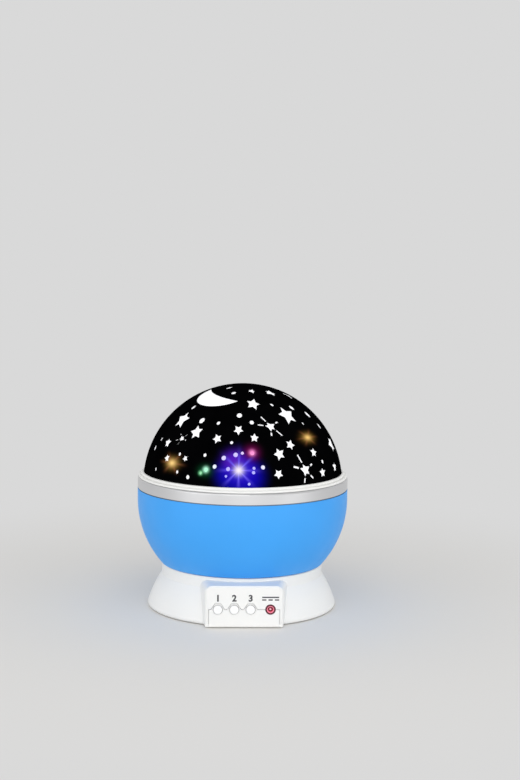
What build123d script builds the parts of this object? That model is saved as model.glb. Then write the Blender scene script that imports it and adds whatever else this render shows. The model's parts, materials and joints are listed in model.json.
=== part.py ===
from build123d import *
from math import acos, ceil, cos, pi, radians, sin, sqrt, tan
import os

# Rotating star-projector night light, in millimetres.
# The origin is on the floor under the spin axis, +Z is up and the control panel faces -Y.

# Fits between pieces
running_fit = 0.05  # radial, journal in its bush
press_gap = 0.02  # radial, bush in its hub
lift_gap = 0.2  # around a piece that lifts or slides out
spin_gap = 0.5  # between the turning bowl and the base
door_gap = 0.3  # around the battery door
seat_gap = 0.1  # around a piece that drops into a recess
end_play = 0.2  # above and below the retaining ring

# Rim, dome and collar
rim_radius = 62.5  # outside of the silver band and of the bowl's mouth
band_foot = 70.6  # height of the band's lower edge
band_height = 6.9
band_wall = 1.4
band_ledge = 1.4  # thickness of the shelf that carries the collar
band_spigot_wall = 1.8
band_round = 1.1
band_reveal_height = 0.6  # shadow gap between the band and the bowl
band_reveal_depth = 0.5
dome_inset = 3.2  # from the rim to the outside of the black skin
skin_thickness = 0.5
skin_gap = 0.05  # between the skin and the lens
lens_wall = 1.6
collar_floor = 1.2  # thickness under the lens
collar_floor_width = 3.2
collar_show = 2.9  # height that stands above the band
collar_ring_height = 1.1  # lower ring, which covers the band's edge
collar_ring_inset = 0.6  # from the rim to that ring
collar_ring_round = 0.4
collar_groove_height = 0.6  # between the ring and the lip
collar_groove_depth = 0.5
collar_lip_inset = 1.9  # from the rim to the collar's lip
collar_round = 0.9
collar_fit = 0.15  # between the dome and the collar's inner wall

# Turning bowl
bowl_wall = 2.2
bowl_shoulder = 6.6  # straight wall under the band
bowl_overhang = 0.7  # of the bowl's step past the base's rim
bowl_neck_round = 2.2
plate_seat = 65.0  # height of the ledge under the reflector plate
plate_ledge_width = 2.7
plate_thickness = 1.5
plate_rim_width = 3.6
plate_hole_radius = 21.0
plate_dish = 4.7  # how far the plate dips towards its middle

# Base
cover_plate = 2.0  # thickness of the bottom cover
cover_round = 1.2
pinion_rim_gap = 1.3  # between the pinion's teeth and the rim
base_rim_wall = 1.5
base_rim_height = 25.9
base_rim_round = 0.4
flare_top = 19.3  # height where the skirt starts to flare
flare_spread = 8.3  # how far the foot stands out from the rim
flare_bulge = 0.7
skirt_wall = 2.0
deck_thickness = 1.6
deck_gap = 0.3  # between the battery tray and the deck

# Control panel
panel_width = 44.0  # of its face
panel_draft = radians(10)  # of its sides
panel_stand = 1.9  # from the foot's edge to the panel's face
panel_drop = 1.9  # from the rim's top edge to the panel's
panel_corner = 4.3
panel_bevel = 0.8
panel_wall = 2.0
tongue_inset = 2.0  # from the panel's side to the part of it that belongs to the bottom cover
parting_height = 10.7
parting_gap = 0.25  # seam between the base shell and the bottom cover's tongue

# Buttons and switches
button_count = 3
button_height = 10.5
button_radius = 2.55
button_proud = 1.2
button_round = 0.7
button_gap = 0.25
button_travel = 2.2
button_flange_radius = 3.3
button_flange = 1.0
button_stem_radius = 1.6
button_stem = 1.5
notch_foot = 8.0  # half-hexagon notch over each button
notch_head = 3.4
notch_height = 3.3
plunger_size = 3.0
plunger_length = 6.0
plunger_depth = 3.0  # how far the plunger stands in its switch at rest
switch_size = 7.0
switch_length = 6.8

# Room that the panel leaves beside its controls, in proportion
first_button_room = 1.6  # left of the first switch
button_room = 2.25  # between two switches
jack_room = 3.75  # between the last switch and the inlet
last_room = 1.15  # right of the inlet

# Supply inlet
jack_height = 10.6
jack_radius = 2.9
jack_bore = 1.75
jack_bore_depth = 9.5
jack_sleeve_wall = 0.25
jack_pin_radius = 0.65
jack_pin_recess = 0.8
jack_width = 8.0
jack_body_height = 7.2
jack_body_length = 11.0

# Control board
board_side_gap = 0.3
board_thickness = 1.6
board_depth = 14.6
board_front_gap = 2.0
board_hole_edge = 3.5  # from the board's side to its screw holes
board_hole_inset = 1.9
board_post_radius = 2.4

# Battery tray: four AAA cells side by side along X
cell_count = 4
cell_diameter = 10.5
cell_gap = 0.35
cell_pitch = 11.4
bay_length = 50.0
tray_wall = 1.2
tray_shelf = 1.4
spring_wire = 0.5
spring_turns = 5
spring_length = 6.5
spring_foot_radius = 3.2
spring_tip_radius = 2.2
contact_width = 7.4
contact_height = 7.0
contact_thickness = 0.4
contact_dimple_radius = 1.8
contact_dimple = 0.8

# Battery door
door_thickness = 1.6
door_inset = 0.2
door_margin = 1.6
door_hinge_margin = 2.4
door_tab_place = 14.0
door_tab_width = 8.0
door_tab_thickness = 1.2
door_tab_reach = 3.0
door_ear_place = (-8.4, 30.6)
door_ear_radius = 3.3
door_boss_wall = 1.2
door_boss_height = 6.0
finger_notch_place = 9.3
finger_notch_width = 6.0
finger_notch_reach = 5.6
finger_notch_depth = 1.2

# Screws
screw_head_radius = 2.3
screw_head_height = 1.0
screw_radius = 1.0
screw_hole_gap = 0.15
recess_length = 2.6
recess_width = 0.7
recess_depth = 0.5
cover_screw_inset = 8.7  # from the foot's edge
cover_screw_angle = radians(46.7)  # from the X axis
cover_screw_length = 8.0
boss_radius = 3.2
small_head_radius = 1.7
small_head_height = 1.3
small_screw_length = 3.0

# Bearing of the bowl and lamp column
journal_radius = 13.0
journal_bore = 8.0
washer_thickness = 0.8
washer_radius = 17.8
washer_bore_gap = 0.3
bush_wall = 1.45
hub_wall = 3.5
hub_length = 11.0
retainer_thickness = 1.6
flange_radius = 16.5
flange_thickness = 2.2
column_radius = 8.2
column_bore = 6.2
column_screw_circle = 10.6
column_screw_count = 3
head_radius = 18.5
head_thickness = 2.5
head_cone = 6.5
head_top = 63.0
head_bore = 5.0

# LED board
led_board_radius = 16.5
led_board_thickness = 1.2
led_board_screw_circle = 13.0
led_radius = 2.5
led_flange_radius = 2.9
led_flange = 1.0
led_height = 6.0  # to the spring of its round top
led_circle = 8.5
led_colour_count = 3

# Ring gear, pinion and geared motor
gear_module = 1.0
gear_dedendum = 1.25  # root depth in modules
ring_teeth = 56  # at least, and more where a longer battery tray moves the gearbox out
pinion_teeth = 16
pressure_angle = radians(20)
tooth_backlash = 0.24
gear_width = 3.2
gear_lift = 1.0  # ring gear above the deck
gear_hub_gap = 0.2
gear_screw_circle = 22.5
gear_screw_count = 3
pinion_width = 2.8
pinion_shaft_radius = 1.5
pinion_shaft_depth = 6.0
shaft_hole_gap = 0.7
gearbox_half_width = 8.6
gearbox_half_length = 12.0
gearbox_floor_gap = 0.4
gearbox_tray_gap = 1.0  # least room between the gearbox and the battery tray
gearbox_screw_place = (6.4, 9.6)
motor_radius = 5.0
motor_length = 12.5
motor_boss_radius = 1.8
motor_boss = 1.2

# Wires
wire_radius = 0.6
wire_spread = 1.6
wire_bend = 2.4
wire_slot_margin = 1.0
lamp_wire_place = 6.8  # where the lamp wires pass the front screw boss
lamp_wire_rise = 29.5  # where they rise to the deck
lamp_wire_start = 42.6
motor_wire_routes = [
    [(32.9, -28.6), (22.0, -31.5), (12.4, -37.9), (11.4, -43.0)],
    [(34.1, -30.0), (22.6, -33.2), (14.2, -39.0), (13.2, -43.0)],
]
battery_wire_routes = [
    [(-20.0, -30.0), (-14.0, -36.8), (-13.5, -41.8)],
    [(-17.6, -29.2), (-11.6, -36.8), (-11.1, -41.8)],
]

# Figures cut in the black skin: azimuth from the front towards +X, elevation, size
moon = (-36, 66.6)
moon_radius = 16.4
moon_shift = (-1.6, 5.3)
moon_bite_radius = 26.8
moon_bite_shift = (8.2, 25.0)
big_stars = [
    (-57, 43.5, 5.8), (-36, 37, 4.4), (-19, 34, 3.0), (-5, 40, 3.1), (9, 59.5, 4.4), (6, 35, 2.7),
    (39, 49, 6.1), (21, 25, 3.7), (19, 14, 3.0), (30, 30, 3.2), (47, 24, 3.1), (51, 12, 3.3),
    (75, 25.5, 6.2), (49, 70, 3.9), (15, 74, 2.7), (82, 63.5, 4.6), (67, 13, 3.8), (-58, 28, 3.3),
    (-53, 19.5, 2.8), (-38, 21, 2.1),
]
# Sparkles: azimuth, elevation, size of the star, and the angle and reach of each ray about it
sparkles = [
    (19, 42, 3.6, [(31, 6.2), (118, 8.4), (166, 7.4), (263, 6.3), (314, 8.6)]),
    (37, 15, 4.1, [(27, 6.7), (111, 9.8), (161, 8.4), (257, 7.4), (315, 7.5)]),
    (-46, 32, 2.3, [(45, 4.2), (131, 3.9), (200, 4.7), (251, 4.3), (350, 3.9)]),
]
dots = [
    (-36, 44.8, 1.7), (-21, 44, 1.05), (-5, 50, 1.5), (5, 45, 1.25), (30, 58, 1.05), (52, 54, 1.6),
    (67, 47, 2.1), (50, 42, 0.9), (71, 38, 1.8), (-57, 53.4, 1.45), (-68, 29, 1.2), (-72, 23, 1.6),
    (-62, 12, 1.1), (-43, 23, 1.0), (-42, 13, 1.0), (-34, 11, 1.2), (-25, 24, 1.0), (-23, 16, 1.2),
    (-18, 18, 1.2), (-13, 23, 1.3), (-6, 25, 1.3), (-2, 26, 0.9), (-10, 17, 1.15), (-11, 13, 0.75),
    (2, 9, 0.8), (10, 18, 1.2), (4.5, 15.2, 0.95), (4.8, 17.6, 0.85), (-9, 32, 0.9), (-19, 71, 1.4),
    (-45, 78, 1.7), (53, 18, 1.2), (-26, 14, 0.8), (4, 26, 1.15),
]
figure_stretch = 0.45  # how much taller figures are cut towards the top, where they are seen at a slant
star_rays = 5
star_waist = 0.5  # inner to outer radius of a star
star_turn = 13  # degrees from one star to the next
ray_width = 0.3  # of a sparkle's star
ray_gap = 0.12  # from a sparkle's star to its rays, as a share of the star
back_rows = range(14, 80, 11)  # elevations of the figures on the far side
back_start = 86
back_span = 188
back_row_count = 12
back_azimuth_scatter = [-3, 1, -2, 3, 0, 2, -1]
back_height_scatter = [-3.0, 1.5, 0.0, 3.0, -1.5]
back_star_sizes = [2.3, 3.5, 2.9, 4.1]
back_dot_sizes = [0.8, 1.3, 1.05, 1.55]

# Heights and radii that follow from the sizes above
trough_radius = cell_diameter / 2 + cell_gap
cell_height = cover_plate + trough_radius
tray_top = cell_height + trough_radius + tray_wall
deck_bottom = tray_top + deck_gap
deck_top = deck_bottom + deck_thickness
hub_bottom = deck_top + washer_thickness
hub_top = hub_bottom + hub_length
journal_top = hub_top + retainer_thickness + 2 * end_play
gear_bottom = deck_top + gear_lift
bowl_floor = gear_bottom + gear_width
bowl_step = base_rim_height + spin_gap
gearbox_least_place = bay_length / 2 + tray_wall + gearbox_tray_gap + gearbox_half_width
ring_count = max(ring_teeth, ceil(2 * gearbox_least_place / gear_module) - pinion_teeth)
ring_pitch_radius = gear_module * ring_count / 2
pinion_pitch_radius = gear_module * pinion_teeth / 2
pinion_place = ring_pitch_radius + pinion_pitch_radius
base_rim_inner = pinion_place + pinion_pitch_radius + gear_module + pinion_rim_gap
base_rim_radius = base_rim_inner + base_rim_wall
foot_radius = base_rim_radius + flare_spread
panel_reach = foot_radius + panel_stand
panel_top = base_rim_height - panel_drop
panel_inner_width = panel_width - 2 * panel_wall
tongue_width = panel_width - 2 * tongue_inset
neck_radius = base_rim_inner - spin_gap
bowl_foot_radius = base_rim_radius + bowl_overhang
bowl_arc_height = band_foot - bowl_shoulder
bowl_arc_rise = bowl_arc_height - bowl_step
bowl_arc_inset = (rim_radius**2 - bowl_foot_radius**2 - bowl_arc_rise**2) / 2
bowl_arc_inset /= rim_radius - bowl_foot_radius
bowl_arc_radius = rim_radius - bowl_arc_inset
bowl_mouth_radius = rim_radius - bowl_wall
band_top = band_foot + band_height
band_inner = rim_radius - band_wall
collar_bottom = band_foot + band_ledge
collar_radius = band_inner - lift_gap
collar_top = band_top + collar_show
dome_centre = collar_bottom + collar_floor
dome_radius = rim_radius - dome_inset
collar_lip_radius = rim_radius - collar_lip_inset
collar_ring_radius = rim_radius - collar_ring_inset
lens_radius = dome_radius - skin_thickness - skin_gap
moon_reach = moon_radius + Vector(*moon_shift).length
skin_cut = dome_radius - sqrt(dome_radius**2 - moon_reach**2) + 2 * skin_thickness
plate_top = plate_seat + plate_thickness
bush_radius = journal_radius + running_fit + bush_wall
hub_radius = bush_radius + press_gap + hub_wall
bay_width = cell_count * cell_pitch
bay_half_length = bay_length / 2
bay_half_width = bay_width / 2
spring_seat = bay_half_length - contact_thickness - seat_gap - spring_wire / 2
cell_rows = [(i - (cell_count - 1) / 2) * cell_pitch for i in range(cell_count)]
room_sum = first_button_room + (button_count - 1) * button_room + jack_room + last_room
room_unit = (panel_inner_width - button_count * switch_size - jack_width) / room_sum
button_first = -panel_inner_width / 2 + first_button_room * room_unit + switch_size / 2
button_pitch = switch_size + button_room * room_unit
button_places = [button_first + i * button_pitch for i in range(button_count)]
jack_place = panel_inner_width / 2 - last_room * room_unit - jack_width / 2
board_width = panel_inner_width - 2 * board_side_gap
board_hole_place = board_width / 2 - board_hole_edge
board_top = button_height - switch_size / 2
board_bottom = board_top - board_thickness
board_front = panel_reach - panel_wall - board_front_gap
board_rear = board_front - board_depth
panel_spread = (panel_reach - board_rear) * tan(panel_draft)
panel_outline = [
    (-panel_width / 2, -panel_reach),
    (panel_width / 2, -panel_reach),
    (panel_width / 2 + panel_spread, -board_rear),
    (-panel_width / 2 - panel_spread, -board_rear),
]
screw_hole = screw_radius + screw_hole_gap
board_screws = [(x, -board_rear - board_hole_inset) for x in (-board_hole_place, board_hole_place)]
cover_screw_reach = foot_radius - cover_screw_inset
cover_screw_x = cover_screw_reach * cos(cover_screw_angle)
cover_screw_y = cover_screw_reach * sin(cover_screw_angle)
cover_screws_at = [(x, y) for x in (-cover_screw_x, cover_screw_x) for y in (-cover_screw_y, cover_screw_y)]
cover_screws_at.append((0, -(board_rear - boss_radius - lift_gap)))
flange_top = journal_top + flange_thickness
led_base = head_top + led_board_thickness
hinge_y = -(bay_half_width + door_hinge_margin)
hinge_z = door_inset + door_thickness / 2
door_rear = bay_half_width + door_margin
door_half_width = bay_half_length + door_margin
gearbox_bottom = cover_plate + tray_shelf + gearbox_floor_gap
motor_height = gearbox_bottom + (deck_bottom - gearbox_bottom) / 2
pinion_bottom = bowl_floor - spin_gap - pinion_width
LOW = (Align.CENTER, Align.CENTER, Align.MIN)
HIGH = (Align.CENTER, Align.CENTER, Align.MAX)


def bowl_radius_at(height, radius):
    """Radius of the bowl's profile arc, or of its inner twin, at a height."""
    return bowl_arc_inset + sqrt(radius**2 - (bowl_arc_height - height) ** 2)


def dome_radius_at(height, radius):
    """Radius of a sphere about the dome's centre at a height."""
    return sqrt(radius**2 - (height - dome_centre) ** 2)


def skirt_chord_at(height):
    """Radius of the straight line between the ends of the skirt's flare."""
    share = (height - cover_plate) / (flare_top - cover_plate)
    return foot_radius + (base_rim_radius - foot_radius) * share


def notch_corners(gap):
    """Corners of the half-hexagon over a button, drawn in by a gap, from the parting line up."""
    lean = (notch_foot - notch_head) / (2 * notch_height)
    foot = notch_foot / 2 - gap * sqrt(1 + lean**2)
    head = foot - lean * (notch_height - gap)
    low = foot + lean * gap
    return [(-low, -gap), (low, -gap), (head, notch_height - gap), (-head, notch_height - gap)]


def pan_screws(seats, shank_up, radius, height, shank_length):
    """Cross-recessed pan-head screws, each with its head's seat at a point."""
    shank_side = LOW if shank_up else HIGH
    head_side = HIGH if shank_up else LOW
    head_end = -height if shank_up else height
    with Locations(*seats):
        Cylinder(radius, height, align=head_side)
        Cylinder(screw_radius, shank_length, align=shank_side)
    with Locations(*[(x, y, z + head_end) for x, y, z in seats]):
        Box(recess_length, recess_width, recess_depth, align=shank_side, mode=Mode.SUBTRACT)
        Box(recess_width, recess_length, recess_depth, align=shank_side, mode=Mode.SUBTRACT)


def gear_teeth(count, first_angle):
    """Closed outline of an involute gear, drawn in the current line."""
    pitch = gear_module * count / 2
    base = pitch * cos(pressure_angle)
    tip = pitch + gear_module
    root = pitch - gear_dedendum * gear_module
    foot = max(base, root)
    half_tooth = pi / (2 * count) - tooth_backlash / (4 * pitch) + tan(pressure_angle) - pressure_angle

    def at(radius, side, tooth):
        roll = acos(min(1, base / max(radius, base)))
        angle = tooth + side * (half_tooth - (tan(roll) - roll))
        return (radius * cos(angle), radius * sin(angle))

    middle = (foot + tip) / 2
    for k in range(count):
        tooth = first_angle + 2 * pi * k / count
        following = tooth + 2 * pi / count
        if foot > root:
            Line(at(root, -1, tooth), at(foot, -1, tooth))
            Line(at(foot, 1, tooth), at(root, 1, tooth))
        ThreePointArc(at(foot, -1, tooth), at(middle, -1, tooth), at(tip, -1, tooth))
        Line(at(tip, -1, tooth), at(tip, 1, tooth))
        ThreePointArc(at(tip, 1, tooth), at(middle, 1, tooth), at(foot, 1, tooth))
        Line(at(root, 1, tooth), at(root, -1, following))


def figure_height(elevation):
    """How much taller than wide a figure is cut."""
    return 1 + figure_stretch * sin(radians(elevation)) ** 2


def star_corners(size, turn, stretch):
    """Corners of a star, turned from upright and then stretched."""
    corners = []
    for k in range(2 * star_rays):
        reach = size if k % 2 == 0 else size * star_waist
        angle = radians(turn) + pi * k / star_rays
        corners.append((-reach * sin(angle), stretch * reach * cos(angle)))
    return corners


def sparkle_corners(size, rays):
    """Corners of the star of a sparkle, with a point towards each ray."""
    corners = []
    for k, (angle, reach) in enumerate(rays):
        following = rays[(k + 1) % len(rays)][0]
        between = angle + (following - angle) % 360 / 2
        corners.append((size * cos(radians(angle)), size * sin(radians(angle))))
        corners.append((star_waist * size * cos(radians(between)), star_waist * size * sin(radians(between))))
    return corners


def ray_corners(size, angle, reach):
    """Corners of one ray of a sparkle."""
    way = Vector(cos(radians(angle)), sin(radians(angle)))
    side = Vector(-way.Y, way.X) * (ray_width * size / 2)
    near, far = way * (size * (1 + ray_gap)), way * reach
    return [near - side, far - side, far + side, near + side]


def dome_plane(azimuth, elevation):
    """Plane that touches the dome, with X to the east and Y to the north."""
    a = radians(azimuth)
    e = radians(elevation)
    outward = Vector(sin(a) * cos(e), -cos(a) * cos(e), sin(e))
    east = Vector(cos(a), sin(a), 0)
    return Plane(Vector(0, 0, dome_centre) + outward * dome_radius, x_dir=east, z_dir=outward)


def spring_point(turn, side, row):
    """Point of a battery spring that stands on the end wall at a side and points inwards."""
    share = turn / spring_turns
    radius = spring_foot_radius + (spring_tip_radius - spring_foot_radius) * share
    angle = 2 * pi * turn
    place = side * (spring_seat - spring_length * share)
    return Vector(place, row + radius * cos(angle), cell_height + radius * sin(angle))


def biarc(start, start_way, end, end_way):
    """Two tangent arcs from one point and direction to another, drawn in the current line."""
    span = end - start
    ways = start_way + end_way
    lean = 2 * (1 - start_way.dot(end_way))
    reach = (sqrt(span.dot(ways) ** 2 + lean * span.dot(span)) - span.dot(ways)) / lean
    near = start + start_way * reach
    far = end - end_way * reach
    joint = (near + far) / 2
    TangentArc(start, joint, tangent=start_way)
    TangentArc(joint, end, tangent=far - near)


def wire(*points):
    """Insulated wire along straight runs joined by arcs."""
    with BuildLine() as route:
        FilletPolyline(*points, radius=wire_bend)
    with BuildSketch(Plane(route.line @ 0, z_dir=route.line % 0)) as section:
        Circle(wire_radius)
    sweep(sections=section.sketch, path=route.line)


os.makedirs("parts", exist_ok=True)

# Base shell: flared skirt, rim, control panel, deck and the journal that the bowl turns on
skirt_middle = ((foot_radius + base_rim_radius) / 2 + flare_bulge, (cover_plate + flare_top) / 2)
with BuildPart() as base_cavity:
    with BuildSketch(Plane.XZ):
        with BuildLine():
            Polyline(
                (0, cover_plate),
                (foot_radius - skirt_wall, cover_plate),
                (skirt_chord_at(deck_bottom) - skirt_wall, deck_bottom),
                (0, deck_bottom),
                close=True,
            )
        make_face()
    revolve(axis=Axis.Z)
    with BuildSketch(Plane.XZ.offset(panel_reach - panel_wall)):
        with Locations((0, cover_plate)):
            Rectangle(
                panel_inner_width,
                panel_top - panel_wall - cover_plate,
                align=(Align.CENTER, Align.MIN),
            )
    extrude(amount=-(panel_reach - panel_wall - board_rear))
    with Locations((0, 0, deck_bottom)):
        Cylinder(base_rim_radius, panel_top, align=LOW, mode=Mode.SUBTRACT)
    with Locations(*[(x, y, cover_plate) for x, y in cover_screws_at]):
        Cylinder(boss_radius, deck_bottom - cover_plate, align=LOW, mode=Mode.SUBTRACT)

with BuildPart() as panel_block:
    with BuildSketch(Plane.XY.offset(cover_plate)):
        Polygon(*panel_outline, align=None)
    extrude(amount=panel_top - cover_plate)
    fillet(panel_block.edges().group_by(Axis.Z)[-1].filter_by(Axis.X, reverse=True), panel_corner)
    panel_front = panel_block.faces().sort_by(Axis.Y)[0]
    panel_edges = panel_front.edges().filter_by_position(Axis.Z, cover_plate + seat_gap, panel_top + seat_gap)
    chamfer(panel_edges, panel_bevel)

with BuildPart() as base_shell:
    with BuildSketch(Plane.XZ):
        with BuildLine():
            Line((0, cover_plate), (foot_radius, cover_plate))
            ThreePointArc((foot_radius, cover_plate), skirt_middle, (base_rim_radius, flare_top))
            Polyline(
                (base_rim_radius, flare_top),
                (base_rim_radius, base_rim_height),
                (0, base_rim_height),
                (0, cover_plate),
            )
        make_face()
    revolve(axis=Axis.Z)
    fillet(base_shell.edges().filter_by(GeomType.CIRCLE).sort_by(Axis.Z)[-1], base_rim_round)
    add(panel_block.part)
    with Locations((0, 0, deck_top)):
        Cylinder(base_rim_inner, panel_top, align=LOW, mode=Mode.SUBTRACT)
    add(base_cavity.part, mode=Mode.SUBTRACT)
    with Locations((0, 0, deck_bottom)):
        Cylinder(journal_radius, journal_top - deck_bottom, align=LOW)
        Cylinder(journal_bore, journal_top - deck_bottom, align=LOW, mode=Mode.SUBTRACT)
    with BuildSketch(Plane.XY.offset(deck_bottom)):
        with BuildLine():
            Polyline(
                (-wire_spread - wire_slot_margin, 0),
                (lamp_wire_place - wire_spread - wire_slot_margin, -lamp_wire_rise - wire_slot_margin),
                (lamp_wire_place + wire_spread + wire_slot_margin, -lamp_wire_rise - wire_slot_margin),
                (wire_spread + wire_slot_margin, 0),
                close=True,
            )
        make_face()
    extrude(amount=deck_thickness, mode=Mode.SUBTRACT)
    with Locations((pinion_place, 0, deck_bottom)):
        Cylinder(pinion_shaft_radius + shaft_hole_gap, deck_thickness, align=LOW, mode=Mode.SUBTRACT)
    with Locations((0, 0, journal_top)):
        with PolarLocations(column_screw_circle, column_screw_count):
            Cylinder(screw_hole, small_screw_length + screw_hole_gap, align=HIGH, mode=Mode.SUBTRACT)
    gearbox_screws_at = [
        (pinion_place - gearbox_screw_place[0], gearbox_screw_place[1]),
        (pinion_place + gearbox_screw_place[0], -gearbox_screw_place[1]),
    ]
    with Locations(*[(x, y, deck_bottom) for x, y in gearbox_screws_at]):
        Cylinder(screw_hole, deck_thickness, align=LOW, mode=Mode.SUBTRACT)
    with Locations(*[(x, y, cover_plate) for x, y in cover_screws_at]):
        Cylinder(screw_hole, cover_screw_length, align=LOW, mode=Mode.SUBTRACT)
    with BuildSketch(Plane.XZ.offset(panel_reach)):
        with Locations((0, cover_plate)):
            Rectangle(
                tongue_width + 2 * parting_gap, parting_height - cover_plate, align=(Align.CENTER, Align.MIN)
            )
        with Locations(*[(x, parting_height) for x in button_places]):
            Polygon(*notch_corners(0), align=None)
        with Locations((jack_place, jack_height)):
            Circle(jack_radius + seat_gap)
    extrude(amount=-panel_wall, mode=Mode.SUBTRACT)
base_shell.part.label = "base_shell"
export_step(base_shell.part, "parts/base_shell.step")

# Bottom cover: plate, front tongue, battery tray, board posts and door-screw boss
with BuildPart() as bottom_cover:
    with BuildSketch():
        Circle(foot_radius)
        Polygon(*panel_outline, align=None)
    extrude(amount=cover_plate)
    fillet(bottom_cover.edges().group_by(Axis.Z)[0], cover_round)
    with BuildSketch(Plane.XZ.offset(panel_reach)):
        with Locations((0, cover_plate / 2)):
            Rectangle(
                tongue_width, parting_height - parting_gap - cover_plate / 2, align=(Align.CENTER, Align.MIN)
            )
        with Locations(*[(x, parting_height) for x in button_places]):
            Polygon(*notch_corners(parting_gap), align=None)
        with Locations(*[(x, button_height) for x in button_places]):
            Circle(button_radius + button_gap, mode=Mode.SUBTRACT)
        with Locations((jack_place, jack_height)):
            Circle(jack_radius + seat_gap, mode=Mode.SUBTRACT)
    extrude(amount=-panel_wall)
    with Locations((0, 0, cover_plate)):
        Box(bay_length + 2 * tray_wall, bay_width + 2 * tray_wall, tray_top - cover_plate, align=LOW)
    shelf_rear = door_rear + door_gap + tray_wall
    shelf_front = -hinge_y + door_tab_reach
    with Locations((0, shelf_rear, cover_plate)):
        Box(
            2 * (door_half_width + door_gap + tray_wall),
            shelf_rear + shelf_front,
            tray_shelf,
            align=(Align.CENTER, Align.MAX, Align.MIN),
        )
    with Locations((door_ear_place[0], door_ear_place[1], cover_plate)):
        Box(
            2 * (door_ear_radius + door_gap + door_boss_wall),
            door_ear_place[1],
            tray_shelf,
            align=(Align.CENTER, Align.MAX, Align.MIN),
        )
        Cylinder(door_ear_radius + door_gap + door_boss_wall, door_boss_height, align=LOW)
    with Locations(*[(x, y, cover_plate) for x, y in board_screws]):
        Cylinder(board_post_radius, board_bottom - cover_plate, align=LOW)
    with Locations(*[(x, -board_front + board_post_radius, cover_plate) for x, y in board_screws]):
        Cylinder(board_post_radius, board_bottom - cover_plate, align=LOW)
    bay_depth = cell_height - cover_plate
    with BuildSketch():
        with Locations((0, door_rear + door_gap)):
            Rectangle(
                2 * (door_half_width + door_gap),
                door_rear + door_gap - hinge_y + door_thickness / 2 + door_gap,
                align=(Align.CENTER, Align.MAX),
            )
        with Locations(door_ear_place):
            Circle(door_ear_radius + door_gap)
            Rectangle(
                2 * (door_ear_radius + door_gap), door_ear_place[1], align=(Align.CENTER, Align.MAX)
            )
        for x in (-door_tab_place, door_tab_place):
            with Locations((x, hinge_y)):
                Rectangle(
                    door_tab_width + 2 * door_gap,
                    door_tab_reach + door_gap,
                    align=(Align.CENTER, Align.MAX),
                )
    extrude(amount=cover_plate, mode=Mode.SUBTRACT)
    with Locations(*[(x, hinge_y, cover_plate) for x in (-door_tab_place, door_tab_place)]):
        Box(
            door_tab_width + 2 * door_gap,
            2 * (door_tab_reach + door_gap),
            tray_shelf,
            align=LOW,
            mode=Mode.SUBTRACT,
        )
    with Locations((finger_notch_place, door_rear, 0)):
        Box(
            finger_notch_width,
            finger_notch_reach,
            finger_notch_depth,
            align=(Align.CENTER, Align.MIN, Align.MIN),
            mode=Mode.SUBTRACT,
        )
    with Locations((0, 0, cover_plate)):
        Box(
            bay_length,
            bay_width - 2 * (cell_pitch / 2 - trough_radius),
            bay_depth,
            align=LOW,
            mode=Mode.SUBTRACT,
        )
    with Locations(*[(0, y, cell_height) for y in cell_rows]):
        Cylinder(trough_radius, bay_length, rotation=(0, 90, 0), mode=Mode.SUBTRACT)
    with Locations((door_ear_place[0], door_ear_place[1], 0)):
        Cylinder(screw_radius + door_gap, door_boss_height, align=LOW, mode=Mode.SUBTRACT)
    with Locations(*[(x, y, board_bottom) for x, y in board_screws]):
        Cylinder(screw_hole, small_screw_length, align=HIGH, mode=Mode.SUBTRACT)
    with Locations(*[(x, y, 0) for x, y in cover_screws_at]):
        Cylinder(
            screw_head_radius + seat_gap, screw_head_height + seat_gap, align=LOW, mode=Mode.SUBTRACT
        )
        Cylinder(screw_hole, cover_plate, align=LOW, mode=Mode.SUBTRACT)
bottom_cover.part.label = "bottom_cover"
export_step(bottom_cover.part, "parts/bottom_cover.step")

with BuildPart() as cover_screws:
    pan_screws(
        [(x, y, screw_head_height + seat_gap) for x, y in cover_screws_at],
        True,
        screw_head_radius,
        screw_head_height,
        cover_screw_length,
    )
cover_screws.part.label = "cover_screws"
export_step(cover_screws.part, "parts/cover_screws.step")

# Battery springs: unbroken conical coils, on the left in odd rows and on the right in even rows
spring_ways = [-1 if i % 2 == 0 else 1 for i in range(cell_count)]
quarters = [i / 4 for i in range(4 * spring_turns + 1)]
turn_step = 0.001  # share of a turn over which a direction is taken
turn_samples = 40  # points on a turn where its gap to itself is taken
with BuildPart() as battery_springs:
    for row, side in zip(cell_rows, spring_ways):
        with BuildLine() as coil:
            points = [spring_point(turn, side, row) for turn in quarters]
            ways = [
                spring_point(turn + turn_step, side, row) - spring_point(turn - turn_step, side, row)
                for turn in quarters
            ]
            for i in range(len(quarters) - 1):
                biarc(points[i], ways[i].normalized(), points[i + 1], ways[i + 1].normalized())
        with BuildSketch(Plane(coil.line @ 0, z_dir=coil.line % 0)):
            Circle(spring_wire / 2)
        sweep(path=coil.line)
battery_springs.part.label = "battery_springs"
export_step(battery_springs.part, "parts/battery_springs.step")

samples = [spring_point(i / turn_samples, 1, 0) for i in range(turn_samples * spring_turns + 1)]
self_gap = min(
    (samples[i] - samples[j]).length - spring_wire
    for i in range(len(samples))
    for j in range(i + turn_samples // 2, len(samples))
)
print(f"battery spring: least gap to itself {self_gap:.2f} mm")

# Contact plates at both ends of every cell, with a dimple where no spring stands
with BuildPart() as battery_contacts:
    for row, spring_side in zip(cell_rows, spring_ways):
        for side in (-1, 1):
            inner = Align.MIN if side < 0 else Align.MAX
            with Locations((side * bay_half_length, row, cell_height)):
                Box(
                    contact_thickness,
                    contact_width,
                    contact_height,
                    align=(inner, Align.CENTER, Align.CENTER),
                )
        with Locations((-spring_side * (bay_half_length - contact_thickness), row, cell_height)):
            Cylinder(contact_dimple_radius, contact_dimple, rotation=(0, 90 * spring_side, 0), align=LOW)
battery_contacts.part.label = "battery_contacts"
export_step(battery_contacts.part, "parts/battery_contacts.step")

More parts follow.
